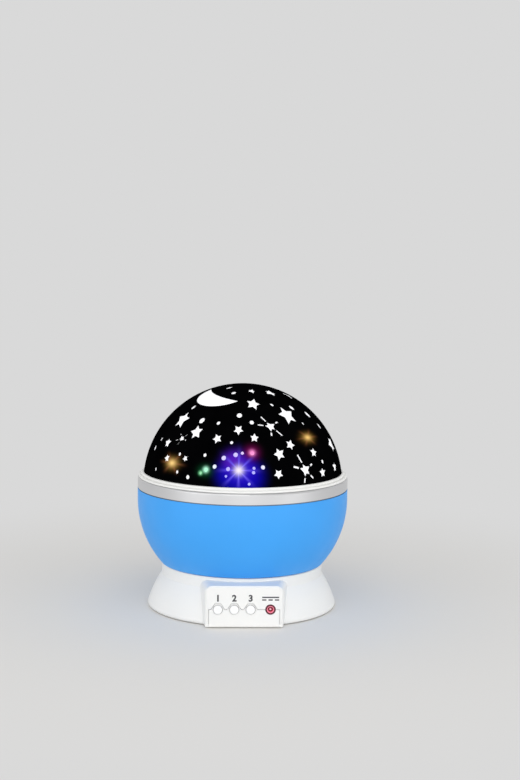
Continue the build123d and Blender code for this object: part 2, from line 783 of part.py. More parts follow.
# Battery door: plate with a rounded hinge edge, two tabs and an ear for its screw
with BuildPart() as battery_door:
    with BuildSketch(Plane.XY.offset(door_inset)):
        with Locations((0, hinge_y)):
            Rectangle(2 * door_half_width, door_rear - hinge_y, align=(Align.CENTER, Align.MIN))
        with Locations(door_ear_place):
            Circle(door_ear_radius)
            Rectangle(2 * door_ear_radius, door_ear_place[1] - hinge_y, align=(Align.CENTER, Align.MAX))
    extrude(amount=door_thickness)
    with Locations((0, hinge_y, hinge_z)):
        Cylinder(door_thickness / 2, 2 * door_half_width, rotation=(0, 90, 0))
    with Locations(*[(x, hinge_y, hinge_z) for x in (-door_tab_place, door_tab_place)]):
        Box(
            door_tab_width,
            door_tab_reach,
            door_tab_thickness,
            align=(Align.CENTER, Align.MAX, Align.CENTER),
        )
    with Locations((door_ear_place[0], door_ear_place[1], door_inset)):
        Cylinder(screw_head_radius + seat_gap, screw_head_height, align=LOW, mode=Mode.SUBTRACT)
        Cylinder(screw_hole, door_thickness, align=LOW, mode=Mode.SUBTRACT)
battery_door.part.label = "battery_door"
export_step(battery_door.part, "parts/battery_door.step")

with BuildPart() as door_screw:
    pan_screws(
        [(door_ear_place[0], door_ear_place[1], door_inset + screw_head_height)],
        True,
        screw_head_radius,
        screw_head_height,
        small_screw_length + door_thickness - screw_head_height,
    )
door_screw.part.label = "door_screw"
export_step(door_screw.part, "parts/door_screw.step")

# Control board with its screws, switches and supply inlet
with BuildPart() as control_board:
    with BuildSketch(Plane.XY.offset(board_bottom)):
        with Locations((0, -board_rear)):
            Rectangle(board_width, board_depth, align=(Align.CENTER, Align.MAX))
        with Locations(*board_screws):
            Circle(screw_hole, mode=Mode.SUBTRACT)
    extrude(amount=board_thickness)
control_board.part.label = "control_board"
export_step(control_board.part, "parts/control_board.step")

with BuildPart() as board_fasteners:
    pan_screws(
        [(x, y, board_top) for x, y in board_screws],
        False,
        small_head_radius,
        small_head_height,
        board_thickness + small_screw_length - screw_hole_gap,
    )
board_fasteners.part.label = "board_screws"
export_step(board_fasteners.part, "parts/board_screws.step")

button_front = panel_reach + button_proud
flange_front = panel_reach - panel_wall - door_gap
stem_front = flange_front - button_flange
plunger_front = stem_front - button_stem
plunger_rear = plunger_front - plunger_length
switch_front = plunger_rear + plunger_depth
with BuildPart() as switch_bodies:
    with BuildSketch(Plane.XZ.offset(switch_front)):
        with Locations(*[(x, button_height) for x in button_places]):
            Rectangle(switch_size, switch_size)
    extrude(amount=-switch_length)
    with BuildSketch(Plane.XZ.offset(switch_front)):
        with Locations(*[(x, button_height) for x in button_places]):
            Rectangle(plunger_size + 2 * lift_gap, plunger_size + 2 * lift_gap)
    extrude(amount=-(plunger_depth + button_travel + door_gap), mode=Mode.SUBTRACT)
switch_bodies.part.label = "switch_bodies"
export_step(switch_bodies.part, "parts/switch_bodies.step")

for number, x in enumerate(button_places, start=1):
    with BuildPart() as button:
        with BuildSketch(Plane.XZ.offset(button_front)):
            with Locations((x, button_height)):
                Circle(button_radius)
        extrude(amount=-(button_front - flange_front))
        fillet(button.edges().sort_by(Axis.Y)[0], button_round)
        with BuildSketch(Plane.XZ.offset(flange_front)):
            with Locations((x, button_height)):
                Circle(button_flange_radius)
        extrude(amount=-button_flange)
        with BuildSketch(Plane.XZ.offset(stem_front)):
            with Locations((x, button_height)):
                Circle(button_stem_radius)
        extrude(amount=-button_stem)
    button.part.label = f"button_{number}"
    export_step(button.part, f"parts/button_{number}.step")

    with BuildPart() as plunger:
        with BuildSketch(Plane.XZ.offset(plunger_front)):
            with Locations((x, button_height)):
                Rectangle(plunger_size, plunger_size)
        extrude(amount=-plunger_length)
    plunger.part.label = f"plunger_{number}"
    export_step(plunger.part, f"parts/plunger_{number}.step")

jack_front = panel_reach - panel_wall - seat_gap
with BuildPart() as dc_jack:
    with BuildSketch(Plane.XZ.offset(jack_front)):
        with Locations((jack_place, board_top)):
            Rectangle(jack_width, jack_body_height, align=(Align.CENTER, Align.MIN))
    extrude(amount=-jack_body_length)
    with BuildSketch(Plane.XZ.offset(panel_reach)):
        with Locations((jack_place, jack_height)):
            Circle(jack_radius)
    extrude(amount=-(panel_reach - jack_front))
    with BuildSketch(Plane.XZ.offset(panel_reach)):
        with Locations((jack_place, jack_height)):
            Circle(jack_bore)
    extrude(amount=-jack_bore_depth, mode=Mode.SUBTRACT)
dc_jack.part.label = "dc_jack"
export_step(dc_jack.part, "parts/dc_jack.step")

with BuildPart() as jack_sleeve:
    with BuildSketch(Plane.XZ.offset(panel_reach - jack_pin_recess)):
        with Locations((jack_place, jack_height)):
            Circle(jack_bore - press_gap)
            Circle(jack_bore - press_gap - jack_sleeve_wall, mode=Mode.SUBTRACT)
    extrude(amount=-(jack_bore_depth - jack_pin_recess))
jack_sleeve.part.label = "jack_sleeve"
export_step(jack_sleeve.part, "parts/jack_sleeve.step")

with BuildPart() as jack_pin:
    with BuildSketch(Plane.XZ.offset(panel_reach - jack_pin_recess)):
        with Locations((jack_place, jack_height)):
            Circle(jack_pin_radius)
    extrude(amount=-(jack_bore_depth - jack_pin_recess))
    fillet(jack_pin.edges().sort_by(Axis.Y)[0], jack_pin_radius / 2)
jack_pin.part.label = "jack_pin"
export_step(jack_pin.part, "parts/jack_pin.step")

# Geared motor under the deck
with BuildPart() as gearbox_case:
    with Locations((pinion_place, 0, gearbox_bottom)):
        Box(2 * gearbox_half_width, 2 * gearbox_half_length, deck_bottom - gearbox_bottom, align=LOW)
    fillet(gearbox_case.edges().filter_by(Axis.Z), gearbox_half_width - gearbox_screw_place[0])
    with Locations((pinion_place, 0, deck_bottom)):
        Cylinder(pinion_shaft_radius + running_fit, pinion_shaft_depth, align=HIGH, mode=Mode.SUBTRACT)
    with Locations(*[(x, y, gearbox_bottom) for x, y in gearbox_screws_at]):
        Cylinder(
            small_head_radius + seat_gap, small_head_height + seat_gap, align=LOW, mode=Mode.SUBTRACT
        )
        Cylinder(screw_hole, deck_bottom - gearbox_bottom, align=LOW, mode=Mode.SUBTRACT)
gearbox_case.part.label = "gearbox_case"
export_step(gearbox_case.part, "parts/gearbox_case.step")

gearbox_screw_seat = gearbox_bottom + small_head_height + seat_gap
with BuildPart() as gearbox_fasteners:
    pan_screws(
        [(x, y, gearbox_screw_seat) for x, y in gearbox_screws_at],
        True,
        small_head_radius,
        small_head_height,
        deck_top - screw_hole_gap - gearbox_screw_seat,
    )
gearbox_fasteners.part.label = "gearbox_screws"
export_step(gearbox_fasteners.part, "parts/gearbox_screws.step")

motor_rear = gearbox_half_length + motor_length
with BuildPart() as motor_can:
    with BuildSketch(Plane.XZ.offset(gearbox_half_length)):
        with Locations((pinion_place, motor_height)):
            Circle(motor_radius)
    extrude(amount=motor_length)
    fillet(motor_can.edges().sort_by(Axis.Y)[0], motor_boss)
    with BuildSketch(Plane.XZ.offset(motor_rear)):
        with Locations((pinion_place, motor_height)):
            Circle(motor_boss_radius)
    extrude(amount=motor_boss)
motor_can.part.label = "motor_can"
export_step(motor_can.part, "parts/motor_can.step")

with BuildPart() as drive_pinion:
    with BuildSketch(Plane((pinion_place, 0, pinion_bottom), z_dir=(0, 0, 1))):
        with BuildLine():
            gear_teeth(pinion_teeth, pi + pi / pinion_teeth)
        make_face()
    extrude(amount=pinion_width)
    with Locations((pinion_place, 0, pinion_bottom)):
        Cylinder(
            pinion_shaft_radius, pinion_bottom - deck_bottom + pinion_shaft_depth - seat_gap, align=HIGH
        )
drive_pinion.part.label = "drive_pinion"
export_step(drive_pinion.part, "parts/drive_pinion.step")

# Bearing of the bowl
with BuildPart() as thrust_washer:
    with BuildSketch(Plane.XY.offset(deck_top)):
        Circle(washer_radius)
        Circle(journal_radius + washer_bore_gap, mode=Mode.SUBTRACT)
    extrude(amount=washer_thickness)
thrust_washer.part.label = "thrust_washer"
export_step(thrust_washer.part, "parts/thrust_washer.step")

with BuildPart() as bowl_bush:
    with BuildSketch(Plane.XY.offset(hub_bottom)):
        Circle(bush_radius)
        Circle(journal_radius + running_fit, mode=Mode.SUBTRACT)
    extrude(amount=hub_length)
bowl_bush.part.label = "bowl_bush"
export_step(bowl_bush.part, "parts/bowl_bush.step")

with BuildPart() as retaining_ring:
    with BuildSketch(Plane.XY.offset(hub_top + end_play)):
        Circle(flange_radius)
        Circle(journal_radius + washer_bore_gap, mode=Mode.SUBTRACT)
    extrude(amount=retainer_thickness)
retaining_ring.part.label = "retaining_ring"
export_step(retaining_ring.part, "parts/retaining_ring.step")

# Turning bowl
bowl_inner_arc = bowl_arc_radius - bowl_wall
step_top = bowl_step + bowl_wall
ledge_inner = bowl_mouth_radius - plate_ledge_width
ledge_bottom = plate_seat - bowl_wall
ledge_foot = ledge_bottom - plate_ledge_width
arc_middle = (bowl_step + bowl_arc_height) / 2
with BuildPart() as bowl_shell:
    with BuildSketch(Plane.XZ):
        with BuildLine():
            Polyline(
                (bush_radius + press_gap, hub_bottom),
                (hub_radius, hub_bottom),
                (hub_radius, bowl_floor),
                (neck_radius, bowl_floor),
                (neck_radius, bowl_step),
                (bowl_radius_at(bowl_step, bowl_arc_radius), bowl_step),
            )
            ThreePointArc(
                (bowl_radius_at(bowl_step, bowl_arc_radius), bowl_step),
                (bowl_radius_at(arc_middle, bowl_arc_radius), arc_middle),
                (rim_radius, bowl_arc_height),
            )
            Polyline(
                (rim_radius, bowl_arc_height),
                (rim_radius, band_foot),
                (bowl_mouth_radius, band_foot),
                (bowl_mouth_radius, plate_seat),
                (ledge_inner, plate_seat),
                (ledge_inner, ledge_bottom),
                (bowl_radius_at(ledge_foot, bowl_inner_arc), ledge_foot),
            )
            ThreePointArc(
                (bowl_radius_at(ledge_foot, bowl_inner_arc), ledge_foot),
                (bowl_radius_at(arc_middle, bowl_inner_arc), arc_middle),
                (bowl_radius_at(step_top, bowl_inner_arc), step_top),
            )
            Polyline(
                (bowl_radius_at(step_top, bowl_inner_arc), step_top),
                (neck_radius - bowl_wall, step_top),
                (neck_radius - bowl_wall, bowl_floor + bowl_wall),
                (hub_radius, bowl_floor + bowl_wall),
                (hub_radius, hub_top),
                (bush_radius + press_gap, hub_top),
                (bush_radius + press_gap, hub_bottom),
            )
        make_face()
    revolve(axis=Axis.Z)
    neck_edge = bowl_shell.edges().filter_by(GeomType.CIRCLE).filter_by(
        lambda edge: abs(edge.radius - neck_radius) < seat_gap and edge.center().Z < bowl_floor + seat_gap
    )
    fillet(neck_edge, min(bowl_neck_round, (bowl_step - bowl_floor) / 2))
    with Locations((0, 0, bowl_floor)):
        with PolarLocations(gear_screw_circle, gear_screw_count):
            Cylinder(screw_hole, bowl_wall, align=LOW, mode=Mode.SUBTRACT)
bowl_shell.part.label = "bowl_shell"
export_step(bowl_shell.part, "parts/bowl_shell.step")

with BuildPart() as ring_gear:
    with BuildSketch(Plane.XY.offset(gear_bottom)):
        with BuildLine():
            gear_teeth(ring_count, 0)
        make_face()
        Circle(hub_radius + gear_hub_gap, mode=Mode.SUBTRACT)
        with PolarLocations(gear_screw_circle, gear_screw_count):
            Circle(screw_hole, mode=Mode.SUBTRACT)
    extrude(amount=gear_width)
ring_gear.part.label = "ring_gear"
export_step(ring_gear.part, "parts/ring_gear.step")

gear_screw_seat = bowl_floor + bowl_wall
gear_screws_at = [
    (gear_screw_circle * cos(2 * pi * k / gear_screw_count),
     gear_screw_circle * sin(2 * pi * k / gear_screw_count),
     gear_screw_seat)
    for k in range(gear_screw_count)
]
with BuildPart() as gear_fasteners:
    pan_screws(
        gear_screws_at, False, small_head_radius, small_head_height, bowl_wall + gear_width - screw_hole_gap
    )
gear_fasteners.part.label = "gear_screws"
export_step(gear_fasteners.part, "parts/gear_screws.step")

spigot_radius = bowl_mouth_radius - lift_gap
with BuildPart() as rim_band:
    with BuildSketch(Plane.XZ):
        with BuildLine():
            Polyline(
                (rim_radius - band_reveal_depth, band_foot),
                (rim_radius - band_reveal_depth, band_foot + band_reveal_height),
                (rim_radius, band_foot + band_reveal_height),
                (rim_radius, band_top),
                (band_inner, band_top),
                (band_inner, collar_bottom),
                (spigot_radius - band_spigot_wall, collar_bottom),
                (spigot_radius - band_spigot_wall, plate_top),
                (spigot_radius, plate_top),
                (spigot_radius, band_foot),
                close=True,
            )
        make_face()
    revolve(axis=Axis.Z)
    band_crest = rim_band.edges().filter_by(GeomType.CIRCLE).group_by(Axis.Z)[-1]
    fillet(band_crest.sort_by(SortBy.RADIUS)[-1], band_round)
rim_band.part.label = "rim_band"
export_step(rim_band.part, "parts/rim_band.step")

plate_radius = spigot_radius
plate_rim_inner = plate_radius - plate_rim_width
with BuildPart() as reflector_plate:
    with BuildSketch(Plane.XZ):
        with BuildLine():
            Polyline(
                (plate_radius, plate_seat),
                (plate_radius, plate_top),
                (plate_rim_inner, plate_top),
                (plate_hole_radius, plate_top - plate_dish),
                (plate_hole_radius, plate_seat - plate_dish),
                (plate_rim_inner, plate_seat),
                close=True,
            )
        make_face()
    revolve(axis=Axis.Z)
reflector_plate.part.label = "reflector_plate"
export_step(reflector_plate.part, "parts/reflector_plate.step")

# Lamp column, fixed on the journal
with BuildPart() as lamp_column:
    with BuildSketch(Plane.XZ):
        with BuildLine():
            Polyline(
                (column_bore, journal_top),
                (flange_radius, journal_top),
                (flange_radius, flange_top),
                (column_radius, flange_top),
                (column_radius, head_top - head_thickness - head_cone),
                (head_radius, head_top - head_thickness),
                (head_radius, head_top),
                (head_bore, head_top),
                (head_bore, head_top - head_thickness),
                (column_bore, head_top - head_thickness),
                close=True,
            )
        make_face()
    revolve(axis=Axis.Z)
    with Locations((0, 0, journal_top)):
        with PolarLocations(column_screw_circle, column_screw_count):
            Cylinder(screw_hole, flange_thickness, align=LOW, mode=Mode.SUBTRACT)
    with Locations((0, 0, head_top)):
        with PolarLocations(led_board_screw_circle, 2):
            Cylinder(screw_hole, small_screw_length, align=HIGH, mode=Mode.SUBTRACT)
lamp_column.part.label = "lamp_column"
export_step(lamp_column.part, "parts/lamp_column.step")

column_screws_at = [
    (column_screw_circle * cos(2 * pi * k / column_screw_count),
     column_screw_circle * sin(2 * pi * k / column_screw_count),
     flange_top)
    for k in range(column_screw_count)
]
with BuildPart() as column_fasteners:
    pan_screws(
        column_screws_at, False, small_head_radius, small_head_height, flange_thickness + small_screw_length
    )
column_fasteners.part.label = "column_screws"
export_step(column_fasteners.part, "parts/column_screws.step")

with BuildPart() as led_board:
    with BuildSketch(Plane.XY.offset(head_top)):
        Circle(led_board_radius)
        with PolarLocations(led_board_screw_circle, 2):
            Circle(screw_hole, mode=Mode.SUBTRACT)
    extrude(amount=led_board_thickness)
led_board.part.label = "led_board"
export_step(led_board.part, "parts/led_board.step")

with BuildPart() as led_board_fasteners:
    pan_screws(
        [(led_board_screw_circle, 0, led_base), (-led_board_screw_circle, 0, led_base)],
        False,
        small_head_radius,
        small_head_height,
        led_board_thickness + small_screw_length - screw_hole_gap,
    )
led_board_fasteners.part.label = "led_board_screws"
export_step(led_board_fasteners.part, "parts/led_board_screws.step")


def leds(places):
    """Round-topped lamps with a foot flange, standing on the LED board."""
    with Locations(*[(x, y, led_base) for x, y in places]):
        Cylinder(led_flange_radius, led_flange, align=LOW)
        Cylinder(led_radius, led_height, align=LOW)
    with Locations(*[(x, y, led_base + led_height) for x, y in places]):
        Sphere(led_radius)


with BuildPart() as led_white:
    leds([(0, 0)])
led_white.part.label = "led_white"
export_step(led_white.part, "parts/led_white.step")

led_places = [
    (led_circle * sin(2 * pi * k / led_colour_count), -led_circle * cos(2 * pi * k / led_colour_count))
    for k in range(led_colour_count)
]
for colour, place in zip(("red", "green", "blue"), led_places):
    with BuildPart() as led_colour:
        leds([place])
    led_colour.part.label = f"led_{colour}"
    export_step(led_colour.part, f"parts/led_{colour}.step")

# Dome: clear lens, black skin with the night-sky figures cut out, and its collar
lens_inner = lens_radius - lens_wall
half = sqrt(0.5)
with BuildPart() as dome_lens:
    with BuildSketch(Plane.XZ):
        with BuildLine():
            Line((lens_inner, dome_centre), (lens_radius, dome_centre))
            ThreePointArc(
                (lens_radius, dome_centre),
                (lens_radius * half, dome_centre + lens_radius * half),
                (0, dome_centre + lens_radius),
            )
            Line((0, dome_centre + lens_radius), (0, dome_centre + lens_inner))
            ThreePointArc(
                (0, dome_centre + lens_inner),
                (lens_inner * half, dome_centre + lens_inner * half),
                (lens_inner, dome_centre),
            )
        make_face()
    revolve(axis=Axis.Z)
dome_lens.part.label = "dome_lens"
export_step(dome_lens.part, "parts/dome_lens.step")

back_stars = []
back_dots = []
for i, elevation in enumerate(back_rows):
    row_count = max(2, round(back_row_count * cos(radians(elevation))))
    for j in range(row_count):
        azimuth = back_start + back_span * (j + 0.5) / row_count
        azimuth += back_azimuth_scatter[(2 * i + j) % len(back_azimuth_scatter)]
        height = elevation + back_height_scatter[(i + j) % len(back_height_scatter)]
        if (i + j) % 3 == 0:
            back_stars.append((azimuth, height, back_star_sizes[j % len(back_star_sizes)]))
        else:
            back_dots.append((azimuth, height, back_dot_sizes[(i + j) % len(back_dot_sizes)]))

skin_inner = dome_radius - skin_thickness
with BuildPart() as dome_skin:
    with BuildSketch(Plane.XZ):
        with BuildLine():
            Line((skin_inner, dome_centre), (dome_radius, dome_centre))
            ThreePointArc(
                (dome_radius, dome_centre),
                (dome_radius * half, dome_centre + dome_radius * half),
                (0, dome_centre + dome_radius),
            )
            Line((0, dome_centre + dome_radius), (0, dome_centre + skin_inner))
            ThreePointArc(
                (0, dome_centre + skin_inner),
                (skin_inner * half, dome_centre + skin_inner * half),
                (skin_inner, dome_centre),
            )
        make_face()
    revolve(axis=Axis.Z)
    with BuildSketch(dome_plane(*moon)):
        with Locations(moon_shift):
            Circle(moon_radius)
        with Locations(moon_bite_shift):
            Circle(moon_bite_radius, mode=Mode.SUBTRACT)
    for i, (azimuth, elevation, size) in enumerate(big_stars + back_stars):
        with BuildSketch(dome_plane(azimuth, elevation)):
            Polygon(*star_corners(size, star_turn * i, figure_height(elevation)), align=None)
    for azimuth, elevation, size, rays in sparkles:
        with BuildSketch(dome_plane(azimuth, elevation)):
            Polygon(*sparkle_corners(size, rays), align=None)
            for angle, reach in rays:
                Polygon(*ray_corners(size, angle, reach), align=None)
    for azimuth, elevation, size in dots + back_dots:
        with BuildSketch(dome_plane(azimuth, elevation)):
            Ellipse(size, size * figure_height(elevation))
    extrude(amount=-skin_cut, both=True, mode=Mode.SUBTRACT)
dome_skin.part.label = "dome_skin"
export_step(dome_skin.part, "parts/dome_skin.step")

collar_inner = dome_radius + collar_fit
ring_foot = band_top + lift_gap
groove_foot = ring_foot + collar_ring_height
groove_top = groove_foot + collar_groove_height
collar_mouth = dome_radius_at(collar_top, collar_inner)
collar_middle = (dome_centre + collar_top) / 2
with BuildPart() as dome_collar:
    with BuildSketch(Plane.XZ):
        with BuildLine():
            Polyline(
                (collar_inner - collar_floor_width, dome_centre),
                (collar_inner - collar_floor_width, collar_bottom),
                (collar_radius, collar_bottom),
                (collar_radius, ring_foot),
                (collar_ring_radius, ring_foot),
                (collar_ring_radius, groove_foot),
                (collar_lip_radius - collar_groove_depth, groove_foot),
                (collar_lip_radius - collar_groove_depth, groove_top),
                (collar_lip_radius, groove_top),
                (collar_lip_radius, collar_top),
                (collar_mouth, collar_top),
            )
            ThreePointArc(
                (collar_mouth, collar_top),
                (dome_radius_at(collar_middle, collar_inner), collar_middle),
                (collar_inner, dome_centre),
            )
            Line((collar_inner, dome_centre), (collar_inner - collar_floor_width, dome_centre))
        make_face()
    revolve(axis=Axis.Z)
    collar_crest = dome_collar.edges().filter_by(GeomType.CIRCLE).group_by(Axis.Z)[-1]
    fillet(collar_crest.sort_by(SortBy.RADIUS)[-1], collar_round)
    collar_widest = dome_collar.edges().filter_by(GeomType.CIRCLE).group_by(SortBy.RADIUS)[-1]
    fillet(collar_widest.sort_by(Axis.Z)[-1], collar_ring_round)
dome_collar.part.label = "dome_collar"
export_step(dome_collar.part, "parts/dome_collar.step")

# Wires inside: board to LED board, board to motor, battery tray to board
lying = board_top + wire_radius + running_fit
deck_wire_height = deck_bottom + deck_thickness / 2
with BuildPart() as lamp_wires:
    for shift in (-wire_spread, 0, wire_spread):
        wire(
            (lamp_wire_place + shift, -lamp_wire_start, lying),
            (lamp_wire_place + shift, -lamp_wire_rise, lying),
            (lamp_wire_place + shift, -lamp_wire_rise, deck_wire_height),
            (shift, 0, deck_wire_height),
            (shift, 0, head_top),
        )
lamp_wires.part.label = "lamp_wires"
export_step(lamp_wires.part, "parts/lamp_wires.step")

with BuildPart() as motor_wires:
    for route_points in motor_wire_routes:
        wire(
            (route_points[0][0], -motor_rear, lying),
            *[(x, y, lying) for x, y in route_points],
        )
motor_wires.part.label = "motor_wires"
export_step(motor_wires.part, "parts/motor_wires.step")

with BuildPart() as battery_wires:
    for route_points in battery_wire_routes:
        wire(
            (route_points[0][0], -bay_half_width - tray_wall, lying),
            *[(x, y, lying) for x, y in route_points],
        )
battery_wires.part.label = "battery_wires"
export_step(battery_wires.part, "parts/battery_wires.step")
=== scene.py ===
"""Looks of a tabletop star-projector night light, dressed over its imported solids."""

import json
import logging
import math
from dataclasses import dataclass, field, replace
from enum import Enum

import bpy
from bpy.types import Material, Node, NodeSocket, Object
from mathutils import Matrix, Vector

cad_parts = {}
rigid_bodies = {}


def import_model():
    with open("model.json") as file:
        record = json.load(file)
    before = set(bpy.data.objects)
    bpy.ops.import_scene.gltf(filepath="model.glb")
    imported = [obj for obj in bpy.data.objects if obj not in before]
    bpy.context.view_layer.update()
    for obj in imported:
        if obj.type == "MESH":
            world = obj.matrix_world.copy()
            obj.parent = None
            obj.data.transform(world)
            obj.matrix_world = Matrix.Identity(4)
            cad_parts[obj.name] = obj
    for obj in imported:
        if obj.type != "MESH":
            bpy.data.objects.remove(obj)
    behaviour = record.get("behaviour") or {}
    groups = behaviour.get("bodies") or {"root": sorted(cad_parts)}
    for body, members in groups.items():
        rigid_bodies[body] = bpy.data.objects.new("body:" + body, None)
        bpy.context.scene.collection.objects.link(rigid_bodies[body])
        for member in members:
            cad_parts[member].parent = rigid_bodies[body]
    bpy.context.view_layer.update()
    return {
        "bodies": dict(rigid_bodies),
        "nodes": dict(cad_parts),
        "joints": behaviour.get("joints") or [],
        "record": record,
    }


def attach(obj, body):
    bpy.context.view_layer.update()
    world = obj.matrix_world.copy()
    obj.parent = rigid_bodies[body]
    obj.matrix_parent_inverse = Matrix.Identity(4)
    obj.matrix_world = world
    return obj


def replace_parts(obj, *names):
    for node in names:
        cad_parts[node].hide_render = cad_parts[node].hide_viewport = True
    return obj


LOG = logging.getLogger("night_light")
MM = 0.001
# A noise pattern stays mostly between these two values.
NOISE_LOW, NOISE_HIGH = 0.3, 0.7

Colour = tuple[float, float, float]
Triple = tuple[float, float, float]
Frame = dict

DARK: Colour = (0.0, 0.0, 0.0)


def srgb(red: int, green: int, blue: int) -> Colour:
    """Turns a colour as a screen shows it into linear light.

    Args:
        red: Red from 0 to 255.
        green: Green from 0 to 255.
        blue: Blue from 0 to 255.

    Returns:
        The three linear values.
    """
    shares = (red / 255, green / 255, blue / 255)
    return tuple(c / 12.92 if c <= 0.04045 else ((c + 0.055) / 1.055) ** 2.4 for c in shares)


def toned(colour: Colour, factor: float) -> Colour:
    """Makes a colour darker or lighter, up to white."""
    return tuple(min(1.0, c * factor) for c in colour)


HOUSING_WHITE = srgb(243, 243, 241)


class Grain(Enum):
    """Texture that a mould or tool leaves: size and depth in millimetres."""

    POLISHED = (0.9, 0.002)
    SATIN = (0.5, 0.006)
    SPARK = (0.7, 0.02)

    @property
    def size(self) -> float:
        """Width of one grain."""
        return self.value[0]

    @property
    def depth(self) -> float:
        """Height of one grain."""
        return self.value[1]


class Rider(Enum):
    """Bodies of the frame that new pieces ride on."""

    BASE = "base"
    DOOR = "door"


class Side(Enum):
    """Ends of the battery bay, by their sign along it."""

    LEFT = -1
    RIGHT = 1


class Bench:
    """Node tree of one material, with its shader and short calls to add nodes."""

    def __init__(self, name: str) -> None:
        """Starts a tree that holds a shader joined to its output.

        Args:
            name: Name of the material.
        """
        self.material: Material = bpy.data.materials.new(name)
        self.material.use_nodes = True
        self.nodes = self.material.node_tree.nodes
        self.links = self.material.node_tree.links
        self.nodes.clear()
        output = self.nodes.new("ShaderNodeOutputMaterial")
        self.shader: Node = self.nodes.new("ShaderNodeBsdfPrincipled")
        self.links.new(self.shader.outputs["BSDF"], output.inputs["Surface"])
        self.place: NodeSocket = self.nodes.new("ShaderNodeTexCoord").outputs["Object"]

    def fix(self, **values: object) -> None:
        """Sets constants on the shader's sockets.

        Args:
            values: Socket names, with underscores for spaces, and their values.
        """
        for name, value in values.items():
            socket = self.shader.inputs[name.replace("_", " ")]
            socket.default_value = (*value, 1.0) if isinstance(value, tuple) else value

    def feed(self, socket: NodeSocket, source: NodeSocket | float | Vector) -> None:
        """Joins a socket to another, or sets it to a constant.

        Args:
            socket: Input to fill.
            source: Output to join, or the constant.
        """
        if isinstance(source, NodeSocket):
            self.links.new(source, socket)
        else:
            socket.default_value = source

    def sum(self, operation: str, *terms: NodeSocket | float) -> NodeSocket:
        """Adds a math node.

        Args:
            operation: Blender's name of the operation.
            terms: Its inputs, in order.

        Returns:
            The result.
        """
        node = self.nodes.new("ShaderNodeMath")
        node.operation = operation
        for socket, term in zip(node.inputs, terms):
            self.feed(socket, term)
        return node.outputs[0]

    def reach(self, operation: str, first: NodeSocket, second: NodeSocket | Vector) -> NodeSocket:
        """Adds a vector math node.

        Args:
            operation: Blender's name of the operation.
            first: A point.
            second: Another point, or a constant.

        Returns:
            The number or vector that it gives.
        """
        node = self.nodes.new("ShaderNodeVectorMath")
        node.operation = operation
        self.feed(node.inputs[0], first)
        self.feed(node.inputs[1], second)
        return node.outputs["Value" if operation in ("DISTANCE", "DOT_PRODUCT") else "Vector"]

    def noise(self, size: float, detail: float = 2.0, stretch: Triple = (1.0, 1.0, 1.0)) -> NodeSocket:
        """Adds a noise pattern on the piece.

        Args:
            size: Width of its blots in millimetres.
            detail: Number of finer layers.
            stretch: How much finer it is along each axis.

        Returns:
            A value about one half.
        """
        mapping = self.nodes.new("ShaderNodeMapping")
        mapping.inputs["Scale"].default_value = stretch
        self.links.new(self.place, mapping.inputs["Vector"])
        node = self.nodes.new("ShaderNodeTexNoise")
        node.inputs["Scale"].default_value = 1.0 / (size * MM)
        node.inputs["Detail"].default_value = detail
        self.links.new(mapping.outputs["Vector"], node.inputs["Vector"])
        return node.outputs["Fac"]

    def span(self, value: NodeSocket, low: float, high: float) -> NodeSocket:
        """Spreads the middle of a noise pattern over a range.

        Args:
            value: The pattern.
            low: Result at its low end.
            high: Result at its high end.

        Returns:
            The spread value.
        """
        node = self.nodes.new("ShaderNodeMapRange")
        node.inputs["From Min"].default_value = NOISE_LOW
        node.inputs["From Max"].default_value = NOISE_HIGH
        node.inputs["To Min"].default_value = low
        node.inputs["To Max"].default_value = high
        self.links.new(value, node.inputs["Value"])
        return node.outputs["Result"]

    def blend(self, share: NodeSocket, first: NodeSocket | Colour, second: NodeSocket | Colour) -> NodeSocket:
        """Mixes two colours.

        Args:
            share: Share of the second colour.
            first: Colour at share 0.
            second: Colour at share 1.

        Returns:
            The mixed colour.
        """
        node = self.nodes.new("ShaderNodeMix")
        node.data_type = "RGBA"
        self.links.new(share, node.inputs["Factor"])
        for socket, colour in ((node.inputs[6], first), (node.inputs[7], second)):
            self.feed(socket, (*colour, 1.0) if isinstance(colour, tuple) else colour)
        return node.outputs[2]

    def cloud(self, size: float, first: Colour, second: Colour, detail: float = 2.0) -> NodeSocket:
        """Mixes two colours in cloudy patches.

        Args:
            size: Width of the patches in millimetres.
            first: Colour of the low patches.
            second: Colour of the high patches.
            detail: Number of finer layers.

        Returns:
            The mixed colour.
        """
        return self.blend(self.span(self.noise(size, detail), 0.0, 1.0), first, second)

    def colour(self, value: NodeSocket, socket: str = "Base Color") -> None:
        """Joins a colour to the shader."""
        self.links.new(value, self.shader.inputs[socket])

    def roughness(self, low: float, high: float, size: float) -> None:
        """Lets the gloss vary over the piece.

        Args:
            low: Least roughness.
            high: Most roughness.
            size: Width of the patches in millimetres.
        """
        patches = self.span(self.noise(size), low, high)
        self.links.new(patches, self.shader.inputs["Roughness"])

    def bump(self, height: NodeSocket, depth: float) -> None:
        """Raises the skin by a pattern.

        Args:
            height: The pattern.
            depth: Its full height in millimetres.
        """
        node = self.nodes.new("ShaderNodeBump")
        node.inputs["Distance"].default_value = depth * MM
        self.links.new(height, node.inputs["Height"])
        self.links.new(node.outputs["Normal"], self.shader.inputs["Normal"])

    def grain(self, grain: Grain) -> None:
        """Gives the skin the grain of its mould."""
        self.bump(self.noise(grain.size, detail=1.0), grain.depth)


